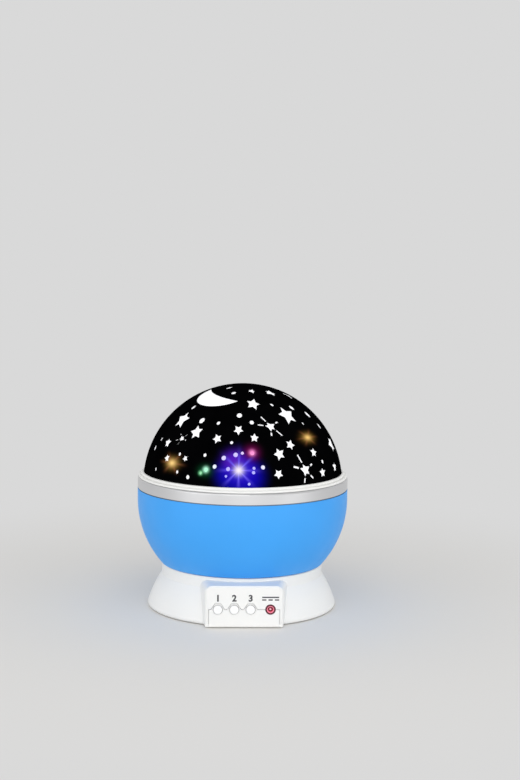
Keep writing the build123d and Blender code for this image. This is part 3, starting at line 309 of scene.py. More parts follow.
@dataclass(frozen=True)
class MouldedPlastic:
    """Injection-moulded plastic, with faint flow marks and the mould's grain. Sizes in millimetres."""

    name: str
    colour: Colour
    roughness: float
    grain: Grain
    tone: float = 0.03
    gloss: float = 0.5
    spread: float = 0.1
    flow_size: float = 26.0
    patch_size: float = 8.0

    def make(self) -> Material:
        """Builds the material.

        Returns:
            The material.
        """
        bench = Bench(self.name)
        darker, lighter = toned(self.colour, 1 - self.tone), toned(self.colour, 1 + self.tone)
        bench.colour(bench.cloud(self.flow_size, darker, lighter, detail=3.0))
        low, high = self.roughness * (1 - self.spread), self.roughness * (1 + self.spread)
        bench.roughness(low, high, self.patch_size)
        bench.grain(self.grain)
        bench.fix(Specular_IOR_Level=self.gloss)
        return bench.material


@dataclass(frozen=True)
class InletPlastic:
    """Dark plastic ring of the supply inlet, with a rose bore that glows with painted light, though no lamp
    lies in it. Sizes in millimetres.
    """

    name: str
    ring: Colour
    bore: Colour
    axis: Vector
    bore_radius: float
    glow: float = 0.3
    shade: float = 0.85
    roughness: tuple[float, float] = (0.25, 0.35)
    patch_size: float = 2.0

    def make(self) -> Material:
        """Builds the material.

        Returns:
            The material.
        """
        bench = Bench(self.name)
        flat = bench.reach("MULTIPLY", bench.place, Vector((1.0, 0.0, 1.0)))
        away = bench.reach("DISTANCE", flat, Vector((self.axis.x, 0.0, self.axis.z)) * MM)
        inside = bench.sum("LESS_THAN", away, self.bore_radius * MM)
        ring = bench.cloud(self.patch_size, toned(self.ring, self.shade), self.ring)
        bench.colour(bench.blend(inside, ring, self.bore))
        # Painted light: the rose bore glows by emission, though no lamp lies in it.
        bench.colour(bench.blend(inside, DARK, self.bore), "Emission Color")
        bench.roughness(*self.roughness, self.patch_size)
        bench.grain(Grain.POLISHED)
        bench.fix(Emission_Strength=self.glow)
        return bench.material


@dataclass(frozen=True)
class PlatedBand:
    """Satin metal plating over plastic, with fine lines round the lamp's axis and painted shade in the gap
    over the bowl. Sizes in millimetres.
    """

    name: str
    colour: Colour
    roughness: float
    # Painted shade: the shadow gap at the band's foot is coloured dark, up to the height below, in
    # millimetres.
    seam: Colour = (0.20, 0.23, 0.27)
    seam_top: float = 71.22
    tone: float = 0.02
    spread: float = 0.06
    line_size: float = 4.0
    line_stretch: Triple = (0.05, 0.05, 12.0)
    line_depth: float = 0.003

    def make(self) -> Material:
        """Builds the material, with painted shade in the gap over the bowl.

        Returns:
            The material.
        """
        bench = Bench(self.name)
        lines = bench.noise(self.line_size, stretch=self.line_stretch)
        plated = bench.blend(bench.span(lines, 0.0, 1.0), toned(self.colour, 1 - self.tone), self.colour)
        height = bench.reach("DOT_PRODUCT", bench.place, Vector((0.0, 0.0, 1.0)))
        # Painted shade: below that height the band takes the dark gap colour in place of its plating.
        bench.colour(bench.blend(bench.sum("LESS_THAN", height, self.seam_top * MM), plated, self.seam))
        low, high = self.roughness * (1 - self.spread), self.roughness * (1 + self.spread)
        bench.links.new(bench.span(lines, low, high), bench.shader.inputs["Roughness"])
        bench.bump(lines, self.line_depth)
        bench.fix(Metallic=1.0)
        return bench.material


@dataclass(frozen=True)
class BrightMetal:
    """Plated or drawn metal with streaks along one axis and dull patches. Sizes in millimetres."""

    name: str
    colour: Colour
    roughness: float
    streaks: Triple = (1.0, 1.0, 1.0)
    streak_size: float = 1.2
    streak_depth: float = 0.004
    streak_shade: float = 0.78
    smoothest: float = 0.75
    dullest: float = 1.3
    patch_size: float = 1.6

    def make(self) -> Material:
        """Builds the material.

        Returns:
            The material.
        """
        bench = Bench(self.name)
        streak = bench.noise(self.streak_size, detail=3.0, stretch=self.streaks)
        shaded = toned(self.colour, self.streak_shade)
        bench.colour(bench.blend(bench.span(streak, 0.0, 1.0), shaded, self.colour))
        bench.roughness(self.roughness * self.smoothest, self.roughness * self.dullest, self.patch_size)
        bench.bump(streak, self.streak_depth)
        bench.fix(Metallic=1.0)
        return bench.material


@dataclass(frozen=True)
class BoardMask:
    """Circuit board under its solder mask, with tracks that show through. Sizes in millimetres."""

    name: str
    colour: Colour
    track: Colour
    track_pitch: float = 4.0
    track_share: float = 0.05
    track_depth: float = 0.03
    shade: float = 0.92
    roughness: tuple[float, float] = (0.3, 0.4)
    patch_size: float = 3.0

    def make(self) -> Material:
        """Builds the material.

        Returns:
            The material.
        """
        bench = Bench(self.name)
        bricks = bench.nodes.new("ShaderNodeTexBrick")
        bricks.inputs["Scale"].default_value = 1.0 / (self.track_pitch * MM)
        bricks.inputs["Mortar Size"].default_value = self.track_share
        bricks.inputs["Color1"].default_value = (*self.colour, 1.0)
        bricks.inputs["Color2"].default_value = (*toned(self.colour, self.shade), 1.0)
        bricks.inputs["Mortar"].default_value = (*self.track, 1.0)
        bench.links.new(bench.place, bricks.inputs["Vector"])
        bench.colour(bricks.outputs["Color"])
        bench.roughness(*self.roughness, self.patch_size)
        bench.bump(bricks.outputs["Fac"], self.track_depth)
        return bench.material


@dataclass(frozen=True)
class LampEpoxy:
    """Tinted clear epoxy of a lit lamp, with pale clouds. Sizes in millimetres."""

    name: str
    colour: Colour
    shine: float
    lift: float = 0.08
    clear: float = 0.55
    index: float = 1.5
    roughness: tuple[float, float] = (0.05, 0.12)
    patch_size: float = 2.0

    def make(self) -> Material:
        """Builds the material.

        Returns:
            The material.
        """
        bench = Bench(self.name)
        lighter = tuple(min(1.0, c + self.lift) for c in self.colour)
        bench.colour(bench.cloud(self.patch_size, self.colour, lighter))
        bench.roughness(*self.roughness, self.patch_size)
        bench.fix(Transmission_Weight=self.clear, IOR=self.index)
        bench.fix(Emission_Color=self.colour, Emission_Strength=self.shine)
        return bench.material


@dataclass(frozen=True)
class WireSheath:
    """Soft wire insulation, dull and a little dusty. Sizes in millimetres."""

    name: str
    colour: Colour
    dust: Colour = (0.3, 0.29, 0.28)
    dust_share: float = 0.25
    dust_size: float = 3.0
    roughness: tuple[float, float] = (0.5, 0.65)
    patch_size: float = 2.0
    grain_size: float = 0.6
    grain_depth: float = 0.01

    def make(self) -> Material:
        """Builds the material.

        Returns:
            The material.
        """
        bench = Bench(self.name)
        dusty = bench.span(bench.noise(self.dust_size, detail=3.0), 0.0, self.dust_share)
        bench.colour(bench.blend(dusty, self.colour, self.dust))
        bench.roughness(*self.roughness, self.patch_size)
        bench.bump(bench.noise(self.grain_size), self.grain_depth)
        return bench.material


@dataclass(frozen=True)
class Glow:
    """Painted glow of a lit lamp that shows through the dome: its place in degrees and its reach in
    millimetres.
    """

    azimuth: float
    elevation: float
    reach: float
    tint: Colour
    edge: float = 2.0
    wide: float = 1.0
    paleness: float = 0.42

    def outward(self) -> Vector:
        """Direction from the dome's centre."""
        a, e = math.radians(self.azimuth), math.radians(self.elevation)
        return Vector((math.sin(a) * math.cos(e), -math.cos(a) * math.cos(e), math.sin(e)))

    def east(self) -> Vector:
        """Direction along the dome's rim."""
        a = math.radians(self.azimuth)
        return Vector((math.cos(a), math.sin(a), 0.0))

    def pale(self, strength: float) -> Colour:
        """Painted colour of a star that this lamp lights, at a share of full white."""
        rest = 1 - self.paleness
        return tuple(strength * (self.paleness + rest * c / max(self.tint)) for c in self.tint)

    def falloff(self, bench: Bench, centre: Vector, radius: float) -> NodeSocket:
        """Adds nodes that fade from one at the glow's place to nothing.

        Args:
            bench: Tree to add to.
            centre: Centre of the dome.
            radius: Radius of the dome.

        Returns:
            The fading value.
        """
        local = bench.reach("SUBTRACT", bench.place, centre + self.outward() * radius)
        across = bench.reach("DOT_PRODUCT", local, self.east())
        eased = bench.sum("MULTIPLY", bench.sum("MULTIPLY", across, across), 1.0 - self.wide**-2)
        square = bench.sum("SUBTRACT", bench.reach("DOT_PRODUCT", local, local), eased)
        share = bench.sum("POWER", bench.sum("MULTIPLY", square, (self.reach * MM) ** -2), self.edge / 2)
        return bench.sum("EXPONENT", bench.sum("MULTIPLY", share, -1.0))


@dataclass(frozen=True)
class Burst:
    """Painted rays round a bright lamp."""

    glow: Glow
    rays: int
    sharpness: float

    @property
    def tint(self) -> Colour:
        """Colour of the rays."""
        return self.glow.tint

    def falloff(self, bench: Bench, centre: Vector, radius: float) -> NodeSocket:
        """Adds nodes that draw the rays.

        Args:
            bench: Tree to add to.
            centre: Centre of the dome.
            radius: Radius of the dome.

        Returns:
            One on a ray and zero between rays, fading outwards.
        """
        east, outward = self.glow.east(), self.glow.outward()
        local = bench.reach("SUBTRACT", bench.place, centre + outward * radius)
        across = bench.reach("DOT_PRODUCT", local, east / self.glow.wide)
        up = bench.reach("DOT_PRODUCT", local, outward.cross(east))
        angle = bench.sum("MULTIPLY", bench.sum("ARCTAN2", up, across), self.rays / 2)
        beam = bench.sum("POWER", bench.sum("ABSOLUTE", bench.sum("COSINE", angle)), self.sharpness)
        return bench.sum("MULTIPLY", beam, self.glow.falloff(bench, centre, radius))


@dataclass(frozen=True)
class NightSky:
    """Painted glows of lights behind the dome, which tint both its black skin and its clear lens.

    The dome's centre and radius are in metres, and the sizes of the clouds in millimetres.
    """

    centre: Vector
    radius: float
    halos: tuple[Glow, ...]
    cores: tuple[Glow, ...]
    bursts: tuple[Burst, ...]
    black: tuple[Colour, Colour] = ((0.0006, 0.0006, 0.0008), (0.0014, 0.0014, 0.0017))
    black_size: float = 14.0
    milk: tuple[Colour, Colour] = ((0.80, 0.81, 0.84), (0.88, 0.88, 0.89))
    milk_size: float = 10.0
    # Painted glow of the stars: their emission, and how pale their tint is near a lamp.
    star_light: Colour = (0.42, 0.42, 0.43)
    star_tint: float = 0.66
    star_shine: float = 0.55
    spill: float = 1.25

    def skin(self, name: str) -> Material:
        """Builds the black skin, with painted glow where lamps shine through it.

        Args:
            name: Name of the material.

        Returns:
            The material.
        """
        bench = Bench(name)
        bench.colour(bench.cloud(self.black_size, *self.black, detail=3.0))
        bench.roughness(low=0.16, high=0.24, size=6.0)
        bench.grain(Grain.POLISHED)
        # Painted light: halos, rays and lamp cores are emission painted on the black skin.
        light: NodeSocket | Colour = DARK
        for lamp in (*self.halos, *self.bursts, *self.cores):
            light = bench.blend(lamp.falloff(bench, self.centre, self.radius), light, lamp.tint)
        bench.colour(light, "Emission Color")
        bench.fix(Emission_Strength=1.0, Specular_IOR_Level=0.0)
        return bench.material

    def lens(self, name: str) -> Material:
        """Builds the milky lens that shows as stars through the skin, lit by painted glow.

        Args:
            name: Name of the material.

        Returns:
            The material.
        """
        bench = Bench(name)
        # Painted light: the lens glows by emission, and the painted glows tint its colour and its emission
        # near each lamp.
        milk = bench.cloud(self.milk_size, *self.milk)
        light: NodeSocket | Colour = self.star_light
        for halo in self.halos:
            share = replace(halo, reach=halo.reach * self.spill).falloff(bench, self.centre, self.radius)
            milk = bench.blend(share, milk, halo.pale(self.star_tint))
            light = bench.blend(share, light, halo.pale(self.star_shine))
        for core in self.cores:
            share = core.falloff(bench, self.centre, self.radius)
            half = toned(core.tint, 0.5)
            milk = bench.blend(share, milk, half)
            light = bench.blend(share, light, half)
        bench.colour(milk)
        bench.colour(light, "Emission Color")
        bench.roughness(low=0.2, high=0.3, size=5.0)
        bench.fix(Emission_Strength=1.0, Specular_IOR_Level=0.3)
        return bench.material


def alone() -> None:
    """Leaves edit mode with nothing selected."""
    if bpy.context.object and bpy.context.object.mode != "OBJECT":
        bpy.ops.object.mode_set(mode="OBJECT")
    bpy.ops.object.select_all(action="DESELECT")


def settle(piece: Object, name: str) -> Object:
    """Writes a piece's place into its mesh and names it.

    Args:
        piece: The new piece.
        name: Its name.

    Returns:
        The piece, at the origin.
    """
    alone()
    piece.select_set(True)
    bpy.context.view_layer.objects.active = piece
    if piece.type != "MESH":
        bpy.ops.object.convert(target="MESH")
    piece.data.transform(piece.matrix_world)
    piece.matrix_world = Matrix.Identity(4)
    piece.name = name
    piece.data.name = name
    return piece


def block(centre: Triple, size: Triple, edge: float, segments: int) -> Object:
    """Models a small block with bevelled edges. All sizes are in millimetres.

    Args:
        centre: Its middle.
        size: Its three sides.
        edge: Width of the bevel.
        segments: Steps across the bevel.

    Returns:
        The block, with its place in its mesh.
    """
    alone()
    bpy.ops.mesh.primitive_cube_add(size=1.0, location=Vector(centre) * MM)
    piece = bpy.context.object
    piece.scale = Vector(size) * MM
    bpy.ops.object.transform_apply(location=True, rotation=False, scale=True)
    bpy.ops.object.mode_set(mode="EDIT")
    bpy.ops.mesh.select_all(action="SELECT")
    bpy.ops.mesh.bevel(offset=edge * MM, segments=segments, affect="EDGES")
    bpy.ops.object.mode_set(mode="OBJECT")
    return piece


def copied(piece: Object, shift: Triple) -> Object:
    """Copies a piece with a mesh of its own.

    Args:
        piece: The piece, with its place in its mesh.
        shift: How far from it the copy stands, in millimetres.

    Returns:
        The copy.
    """
    alone()
    piece.select_set(True)
    bpy.context.view_layer.objects.active = piece
    bpy.ops.object.duplicate(linked=False)
    copy = bpy.context.object
    copy.data.transform(Matrix.Translation(Vector(shift) * MM))
    return copy


def joined(pieces: list[Object], name: str) -> Object:
    """Joins pieces into one.

    Args:
        pieces: The pieces.
        name: Name of the result.

    Returns:
        The first piece, which holds them all.
    """
    alone()
    for piece in pieces:
        piece.select_set(True)
    bpy.context.view_layer.objects.active = pieces[0]
    bpy.ops.object.join()
    return settle(pieces[0], name)


def dress(piece: Object, finish: Material) -> None:
    """Gives a piece one finish in place of all others."""
    piece.data.materials.clear()
    piece.data.materials.append(finish)


@dataclass
class Assembly:
    """Pieces of the frame that are dressed together."""

    frame: Frame

    def coat(self, finish: Material, *nodes: str) -> list[str]:
        """Dresses nodes of the frame in one finish.

        Args:
            finish: The material.
            nodes: Names of the nodes.

        Returns:
            The names.
        """
        for node in nodes:
            dress(self.frame["nodes"][node], finish)
        return list(nodes)

    def build(self) -> list[str]:
        """Makes and dresses the assembly's pieces.

        Returns:
            The names of all its pieces.
        """
        raise NotImplementedError


@dataclass
class Dome(Assembly):
    """Star dome that lifts off: black skin, clear lens and white collar. Its sphere is in metres."""

    centre: Vector = field(default_factory=lambda: Vector((0.0, 0.0, 73.2)) * MM)
    radius: float = 59.3 * MM

    def sky(self) -> NightSky:
        """Places the painted glows of the lamps that show through the dome.

        Returns:
            The painted glows of the lamps, behind the dome's own sphere.
        """
        violet, amber = (0.16, 0.11, 1.0), (0.22, 0.08, 0.03)
        return NightSky(
            self.centre,
            self.radius,
            halos=(
                Glow(-8.0, 14.0, 8.2, (0.004, 0.002, 0.42), edge=3.2),
                Glow(1.0, 12.5, 8.8, (0.004, 0.002, 0.42), edge=3.2),
                Glow(-3.0, 17.0, 7.4, (0.03, 0.008, 0.62), edge=2.6),
                Glow(-7.0, 21.5, 5.6, (0.09, 0.012, 0.5), edge=2.4),
                Glow(3.8, 26.2, 3.5, (0.2, 0.004, 0.09), edge=2.0),
                Glow(-23.5, 15.4, 2.5, (0.004, 0.09, 0.03), edge=1.8, wide=1.3),
                Glow(-47.2, 17.4, 2.9, (0.33, 0.17, 0.025), edge=2.0, wide=1.5),
                Glow(46.5, 33.0, 2.6, (0.27, 0.14, 0.02), edge=2.0, wide=1.7),
            ),
            cores=(
                Glow(-3.9, 16.4, 2.6, (1.0, 0.9, 1.0), edge=2.0),
                Glow(3.9, 26.2, 1.75, (1.0, 0.27, 0.68), edge=2.4),
                Glow(-23.0, 16.0, 1.75, (0.45, 1.0, 0.7), edge=2.6),
                Glow(-26.0, 14.0, 1.2, (0.2, 0.72, 0.32), edge=2.4),
                Glow(-47.2, 17.4, 1.8, (1.0, 0.68, 0.24), edge=1.7, wide=1.55),
                Glow(46.5, 33.0, 1.5, (1.0, 0.64, 0.2), edge=1.7, wide=1.6),
            ),
            bursts=(
                Burst(Glow(-3.9, 16.4, 8.0, violet, edge=2.4), rays=8, sharpness=12.0),
                Burst(Glow(-47.2, 17.4, 4.6, amber, edge=3.0, wide=1.6), rays=6, sharpness=9.0),
                Burst(Glow(46.5, 33.0, 3.8, amber, edge=3.0, wide=1.6), rays=6, sharpness=9.0),
            ),
        )

    def build(self) -> list[str]:
        """Dresses the dome.

        Returns:
            The names of its pieces.
        """
        sky = self.sky()
        collar = MouldedPlastic("collar_white", HOUSING_WHITE, 0.34, Grain.SATIN, tone=0.012)
        return [
            *self.coat(sky.skin("dome_night_black"), "dome_skin"),
            *self.coat(sky.lens("dome_milky_clear"), "dome_lens"),
            *self.coat(collar.make(), "dome_collar"),
        ]


@dataclass
class Bowl(Assembly):
    """Turning bowl with its silver band, reflector and bearing."""

    def build(self) -> list[str]:
        """Dresses the bowl.

        Returns:
            The names of its pieces.
        """
        blue = MouldedPlastic("bowl_sky_blue", srgb(61, 165, 248), 0.46, Grain.SATIN, tone=0.02, gloss=0.4)
        band = PlatedBand("band_satin_silver", (0.71, 0.71, 0.72), 0.45)
        reflector = MouldedPlastic("reflector_white", srgb(240, 240, 240), 0.25, Grain.POLISHED)
        natural = MouldedPlastic("acetal_natural", srgb(232, 229, 218), 0.45, Grain.SATIN)
        bush = MouldedPlastic("bush_white", srgb(236, 236, 233), 0.5, Grain.SATIN)
        return [
            *self.coat(blue.make(), "bowl_shell"),
            *self.coat(band.make(), "rim_band"),
            *self.coat(reflector.make(), "reflector_plate"),
            *self.coat(natural.make(), "ring_gear", "drive_pinion", "gearbox_case"),
            *self.coat(bush.make(), "bowl_bush", "thrust_washer", "retaining_ring"),
        ]


@dataclass
class Base(Assembly):
    """White base, its bottom cover and the screws that hold it together."""

    def build(self) -> list[str]:
        """Dresses the base.

        Returns:
            The names of its pieces.
        """
        white = MouldedPlastic("base_white", HOUSING_WHITE, 0.36, Grain.SATIN, tone=0.012)
        zinc = BrightMetal("screw_zinc", (0.55, 0.55, 0.56), 0.35)
        can = BrightMetal("motor_drawn_steel", (0.62, 0.62, 0.63), 0.3, streaks=(8.0, 0.3, 8.0))
        red = WireSheath("wire_red", (0.42, 0.012, 0.012))
        black = WireSheath("wire_black", (0.012, 0.012, 0.013))
        return [
            *self.coat(white.make(), "base_shell", "bottom_cover", "battery_door", "lamp_column"),
            *self.coat(
                zinc.make(),
                "cover_screws",
                "door_screw",
                "board_screws",
                "gearbox_screws",
                "gear_screws",
                "column_screws",
                "led_board_screws",
            ),
            *self.coat(can.make(), "motor_can"),
            *self.coat(red.make(), "lamp_wires", "battery_wires"),
            *self.coat(black.make(), "motor_wires"),
        ]


@dataclass
class ControlPanel(Assembly):
    """Push buttons, supply inlet and the marks printed over them. Sizes in millimetres."""

    face: float = -58.0
    mark_height: float = 3.7
    mark_centre: float = 16.9
    mark_proud: float = 0.04
    mark_weight: float = 0.2
    mark_steps: int = 6
    font_share: float = 1.38
    button_places: tuple[float, ...] = (-14.9, -5.65, 3.6)
    inlet_place: float = 14.85
    inlet_height: float = 10.6
    bore_radius: float = 2.0
    bar_length: float = 9.6
    bar_height: float = 0.75
    bar_rise: float = 0.75
    bar_edge: float = 0.012

    def build(self) -> list[str]:
        """Dresses the panel and prints its marks.

        Returns:
            The names of its pieces.
        """
        cap = MouldedPlastic("button_white", srgb(250, 250, 250), 0.22, Grain.POLISHED, tone=0.008)
        axis = Vector((self.inlet_place, self.face, self.inlet_height))
        inlet = InletPlastic("inlet_maroon", srgb(96, 28, 42), srgb(238, 140, 160), axis, self.bore_radius)
        sleeve = MouldedPlastic("inlet_sleeve_rose", srgb(235, 120, 145), 0.35, Grain.POLISHED)
        pin = MouldedPlastic("inlet_pin_pale", srgb(250, 200, 208), 0.3, Grain.POLISHED)
        switch = MouldedPlastic("switch_black", srgb(32, 32, 33), 0.45, Grain.SPARK)
        plunger = MouldedPlastic("plunger_natural", srgb(228, 226, 218), 0.4, Grain.SATIN)
        board = BoardMask("board_green", (0.02, 0.16, 0.06), (0.05, 0.26, 0.1))
        ink = MouldedPlastic("mark_ink", srgb(70, 70, 74), 0.55, Grain.SATIN, tone=0.1).make()
        marks = [self.number(str(i), x, ink) for i, x in enumerate(self.button_places, start=1)]
        marks.append(self.supply_sign(ink))
        return [
            *self.coat(cap.make(), "button_1", "button_2", "button_3"),
            *self.coat(inlet.make(), "dc_jack"),
            *self.coat(sleeve.make(), "jack_sleeve"),
            *self.coat(pin.make(), "jack_pin"),
            *self.coat(switch.make(), "switch_bodies"),
            *self.coat(plunger.make(), "plunger_1", "plunger_2", "plunger_3"),
            *self.coat(board.make(), "control_board"),
            *[mark.name for mark in marks],
        ]

    def number(self, text: str, across: float, ink: Material) -> Object:
        """Prints a number over a button.

        Args:
            text: The number.
            across: Its place along the panel in millimetres.
            ink: Its finish.

        Returns:
            The printed mark.
        """
        alone()
        bpy.ops.object.text_add(
            location=(across * MM, (self.face - self.mark_proud) * MM, self.mark_centre * MM),
            rotation=(math.pi / 2, 0.0, 0.0),
        )
        mark = bpy.context.object
        mark.data.body = text
        mark.data.align_x = "CENTER"
        mark.data.align_y = "CENTER"
        mark.data.size = self.mark_height * self.font_share * MM
        mark.data.offset = self.mark_weight * MM
        mark.data.extrude = self.mark_proud / 2 * MM
        mark.data.resolution_u = self.mark_steps
        bpy.context.view_layer.update()
        return self.fix(settle(mark, f"mark_number_{text}"), ink)

    def supply_sign(self, ink: Material) -> Object:
        """Prints the sign for direct current over the inlet: a line above three dashes.

        Args:
            ink: Its finish.

        Returns:
            The printed mark.
        """
        length = self.bar_length / 4
        pitch = (self.bar_length - length) / 2
        line = self.bar(self.inlet_place, self.mark_centre + self.bar_rise, self.bar_length)
        dash = self.bar(self.inlet_place - pitch, self.mark_centre - self.bar_rise, length)
        dashes = [dash, *(copied(dash, (step * pitch, 0.0, 0.0)) for step in (1, 2))]
        return self.fix(joined([line, *dashes], "mark_direct_current"), ink)

    def bar(self, across: float, height: float, length: float) -> Object:
        """Models one bar of the sign. All sizes are in millimetres.

        Args:
            across: Place of its middle along the panel.
            height: Height of its middle.
            length: Its length.

        Returns:
            The bar.
        """
        centre = (across, self.face - self.mark_proud, height)
        return block(centre, (length, self.mark_proud, self.bar_height), self.bar_edge, segments=1)

    def fix(self, mark: Object, ink: Material) -> Object:
        """Inks a mark and lets it ride on the base.

        Args:
            mark: The mark.
            ink: Its finish.

        Returns:
            The mark.
        """
        dress(mark, ink)
        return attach(mark, Rider.BASE.value)


@dataclass
class BatteryBay(Assembly):
    """Battery contacts, coil springs and the grip ridges of the door. Sizes in millimetres."""

    row_first: float = -17.1
    row_pitch: float = 11.4
    seat: float = 24.25
    height: float = 7.6
    length: float = 6.5
    turns: int = 5
    foot_radius: float = 3.2
    tip_radius: float = 2.2
    wire: float = 0.5
    points_a_turn: int = 12
    curve_order: int = 4
    curve_steps: int = 3
    ridge_place: float = 9.3
    ridge_first: float = 14.0
    ridge_pitch: float = 1.7
    ridge_count: int = 5
    ridge_length: float = 12.0
    ridge_width: float = 0.8
    ridge_edge: float = 0.06
    ridge_share: float = 0.7
    door_face: float = 0.2

    def build(self) -> list[str]:
        """Dresses the bay, winds its springs and moulds the door's grip.

        Returns:
            The names of its pieces.
        """
        nickel = BrightMetal("contact_nickel", (0.66, 0.65, 0.61), 0.25, streaks=(1.0, 6.0, 1.0))
        steel = BrightMetal("spring_steel", (0.62, 0.62, 0.63), 0.22)
        grip = MouldedPlastic("door_grip_white", HOUSING_WHITE, 0.36, Grain.SATIN, tone=0.012)
        springs = self.springs(steel.make())
        ridges = self.ridges(grip.make())
        return [*self.coat(nickel.make(), "battery_contacts"), springs.name, ridges.name]

    def springs(self, steel: Material) -> Object:
        """Winds the four springs, which face left and right by turns.

        Args:
            steel: Their finish.

        Returns:
            One piece that stands for the springs of the frame.
        """
        left = self.coil(self.row_first, Side.LEFT)
        right = self.coil(self.row_first + self.row_pitch, Side.RIGHT)
        shift = (0.0, 2 * self.row_pitch, 0.0)
        springs = joined([left, right, copied(left, shift), copied(right, shift)], "battery_spring_coils")
        springs.data.polygons.foreach_set("use_smooth", [True] * len(springs.data.polygons))
        dress(springs, steel)
        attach(springs, Rider.BASE.value)
        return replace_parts(springs, "battery_springs")

    def coil(self, row: float, side: Side) -> Object:
        """Winds one conical spring as a smooth curve.

        Args:
            row: Place of its axis across the bay in millimetres.
            side: End of the bay that it stands on.

        Returns:
            The spring as a mesh.
        """
        alone()
        bpy.ops.curve.primitive_nurbs_path_add(location=(0.0, 0.0, 0.0))
        coil = bpy.context.object
        line = coil.data.splines[0]
        steps = self.turns * self.points_a_turn
        line.points.add(steps + 1 - len(line.points))
        for step, point in enumerate(line.points):
            share = step / steps
            radius = self.foot_radius + (self.tip_radius - self.foot_radius) * share
            angle = 2 * math.pi * self.turns * share
            along = side.value * (self.seat - self.length * share)
            across, up = row + radius * math.cos(angle), self.height + radius * math.sin(angle)
            point.co = (along * MM, across * MM, up * MM, 1.0)
        line.order_u = self.curve_order
        line.use_endpoint_u = True
        line.resolution_u = self.curve_steps
        coil.data.bevel_depth = self.wire / 2 * MM
        coil.data.bevel_resolution = self.curve_steps
        coil.data.use_fill_caps = True
        return settle(coil, "spring_coil")

    def ridges(self, finish: Material) -> Object:
        """Moulds a row of grip ridges on the door.

        Args:
            finish: Their finish.

        Returns:
            The ridges as one piece.
        """
        depth = self.door_face * self.ridge_share
        centre = (self.ridge_place, self.ridge_first, self.door_face - depth / 2)
        ridge = block(centre, (self.ridge_length, self.ridge_width, depth), self.ridge_edge, segments=2)
        others = [copied(ridge, (0.0, i * self.ridge_pitch, 0.0)) for i in range(1, self.ridge_count)]
        grip = joined([ridge, *others], "door_grip_ridges")
        dress(grip, finish)
        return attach(grip, Rider.DOOR.value)


@dataclass
class LampHead(Assembly):
    """White and coloured lamps on their board."""

    def build(self) -> list[str]:
        """Dresses the lamps.

        Returns:
            The names of its pieces.
        """
        board = BoardMask("lamp_board_white", (0.78, 0.79, 0.78), (0.7, 0.72, 0.7))
        return [
            *self.coat(board.make(), "led_board"),
            *self.coat(LampEpoxy("lamp_white", (0.95, 0.95, 0.9), shine=0.9).make(), "led_white"),
            *self.coat(LampEpoxy("lamp_red", (0.75, 0.03, 0.03), shine=0.5).make(), "led_red"),
            *self.coat(LampEpoxy("lamp_green", (0.03, 0.55, 0.08), shine=0.5).make(), "led_green"),
            *self.coat(LampEpoxy("lamp_blue", (0.04, 0.08, 0.75), shine=0.5).make(), "led_blue"),
        ]


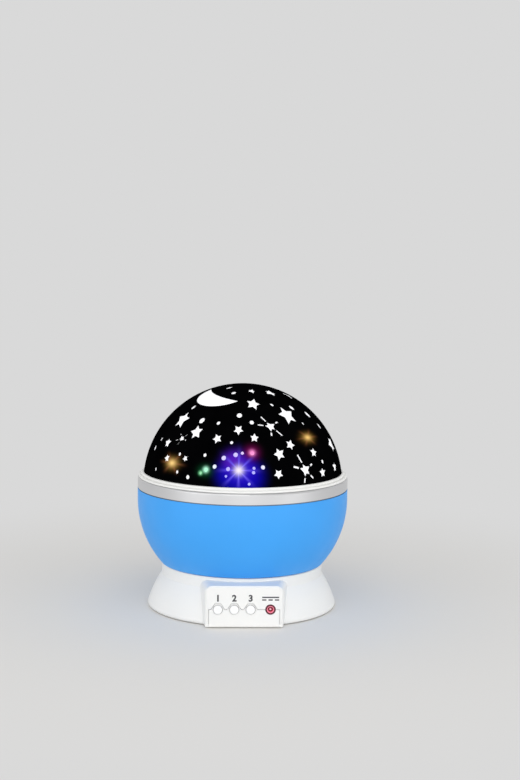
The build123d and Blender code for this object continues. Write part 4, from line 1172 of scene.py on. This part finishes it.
@dataclass
class Studio:
    """Pale floor, soft light and the camera. Sizes in metres, the lens and sensor in millimetres."""

    grey: Colour = srgb(217, 217, 217)
    floor_size: float = 8.0
    floor_drop: float = 0.0004
    floor_tint: Colour = (0.80, 0.79, 0.77)
    fade_start: float = 0.10
    fade_end: float = 0.36
    sky_strength: float = 0.69
    lamp_aim: Triple = (0.0, 0.0, 0.06)
    sensor: float = 36.0
    lens: float = 70.45
    clip: tuple[float, float] = (0.01, 50.0)
    distance: float = 0.900
    height: float = 0.2316
    azimuth: float = math.radians(-2.2)
    aside: float = 0.0097
    pitch: float = 0.1137
    roll: float = 0.0115

    def build(self) -> None:
        """Makes the whole studio."""
        self.world()
        self.floor()
        self.lamp("front_softbox", (0.0, -1.3, 0.10), (0.9, 0.5), power=2.7)
        self.lamp("left_softbox", (-1.05, -0.85, 0.25), (0.8, 0.6), power=3.0)
        self.lamp("right_softbox", (1.05, -0.85, 0.25), (0.8, 0.6), power=3.0)
        self.lamp("top_softbox", (0.0, -1.0, 1.1), (1.0, 1.0), power=3.2)
        self.camera()
        bpy.context.scene.view_settings.view_transform = "Standard"

    def world(self) -> None:
        """Lights the scene evenly and shows plain grey behind it."""
        world = bpy.data.worlds.new("studio")
        world.use_nodes = True
        bpy.context.scene.world = world
        nodes, links = world.node_tree.nodes, world.node_tree.links
        nodes.clear()
        path = nodes.new("ShaderNodeLightPath")
        seen = path.outputs["Is Camera Ray"]
        for ray in ("Is Transmission Ray", "Is Glossy Ray"):
            either = nodes.new("ShaderNodeMath")
            either.operation = "MAXIMUM"
            links.new(seen, either.inputs[0])
            links.new(path.outputs[ray], either.inputs[1])
            seen = either.outputs[0]
        light = nodes.new("ShaderNodeBackground")
        light.inputs["Color"].default_value = (1.0, 1.0, 1.0, 1.0)
        light.inputs["Strength"].default_value = self.sky_strength
        shown = nodes.new("ShaderNodeBackground")
        shown.inputs["Color"].default_value = (*self.grey, 1.0)
        shown.inputs["Strength"].default_value = 1.0
        mix = nodes.new("ShaderNodeMixShader")
        links.new(seen, mix.inputs[0])
        links.new(light.outputs[0], mix.inputs[1])
        links.new(shown.outputs[0], mix.inputs[2])
        output = nodes.new("ShaderNodeOutputWorld")
        links.new(mix.outputs[0], output.inputs["Surface"])

    def floor(self) -> None:
        """Lays a floor that takes the lamp's shadow and fades into the grey behind."""
        alone()
        bpy.ops.mesh.primitive_plane_add(size=self.floor_size, location=(0.0, 0.0, -self.floor_drop))
        floor = bpy.context.object
        floor.name = "floor"
        material = bpy.data.materials.new("floor_pale")
        material.use_nodes = True
        nodes, links = material.node_tree.nodes, material.node_tree.links
        nodes.clear()
        place = nodes.new("ShaderNodeTexCoord")
        length = nodes.new("ShaderNodeVectorMath")
        length.operation = "LENGTH"
        links.new(place.outputs["Object"], length.inputs[0])
        fade = nodes.new("ShaderNodeMapRange")
        fade.interpolation_type = "SMOOTHSTEP"
        fade.inputs["From Min"].default_value = self.fade_start
        fade.inputs["From Max"].default_value = self.fade_end
        links.new(length.outputs["Value"], fade.inputs["Value"])
        near = nodes.new("ShaderNodeBsdfDiffuse")
        near.inputs["Color"].default_value = (*self.floor_tint, 1.0)
        far = nodes.new("ShaderNodeEmission")
        far.inputs["Color"].default_value = (*self.grey, 1.0)
        mix = nodes.new("ShaderNodeMixShader")
        links.new(fade.outputs["Result"], mix.inputs[0])
        links.new(near.outputs[0], mix.inputs[1])
        links.new(far.outputs[0], mix.inputs[2])
        output = nodes.new("ShaderNodeOutputMaterial")
        links.new(mix.outputs[0], output.inputs["Surface"])
        floor.data.materials.append(material)

    def lamp(self, name: str, place: Triple, size: tuple[float, float], power: float) -> None:
        """Hangs a softbox that faces the night light.

        Args:
            name: Its name.
            place: Where it hangs, in metres.
            size: Its width and height in metres.
            power: Its power in watts.
        """
        data = bpy.data.lights.new(name, "AREA")
        data.shape = "RECTANGLE"
        data.size, data.size_y = size
        data.energy = power
        lamp = bpy.data.objects.new(name, data)
        bpy.context.scene.collection.objects.link(lamp)
        lamp.location = place
        aim = Vector(self.lamp_aim) - Vector(place)
        lamp.rotation_mode = "QUATERNION"
        lamp.rotation_quaternion = aim.to_track_quat("-Z", "Y")

    def camera(self) -> None:
        """Sets the camera where the photograph was taken from."""
        data = bpy.data.cameras.new("front_camera")
        data.sensor_width = self.sensor
        data.lens = self.lens
        data.clip_start, data.clip_end = self.clip
        camera = bpy.data.objects.new("front_camera", data)
        bpy.context.scene.collection.objects.link(camera)
        back = Vector((math.sin(self.azimuth), -math.cos(self.azimuth), 0.0))
        right = Vector((math.cos(self.azimuth), math.sin(self.azimuth), 0.0))
        camera.location = back * self.distance + right * self.aside + Vector((0.0, 0.0, self.height))
        sight = -back * math.cos(self.pitch) - Vector((0.0, 0.0, math.sin(self.pitch)))
        camera.rotation_mode = "QUATERNION"
        turned = sight.to_track_quat("-Z", "Y").to_matrix() @ Matrix.Rotation(self.roll, 3, "Z")
        camera.rotation_quaternion = turned.to_quaternion()
        bpy.context.scene.camera = camera


def main() -> None:
    """Builds the night light's looks in order and reports each piece."""
    logging.basicConfig(level=logging.INFO, format="%(name)s: %(message)s")
    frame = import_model()
    Studio().build()
    for kind in (Dome, Bowl, Base, ControlPanel, BatteryBay, LampHead):
        assembly = kind(frame)
        for name in assembly.build():
            LOG.info("%s: %s", kind.__name__, name)


if __name__ == "__main__":
    main()
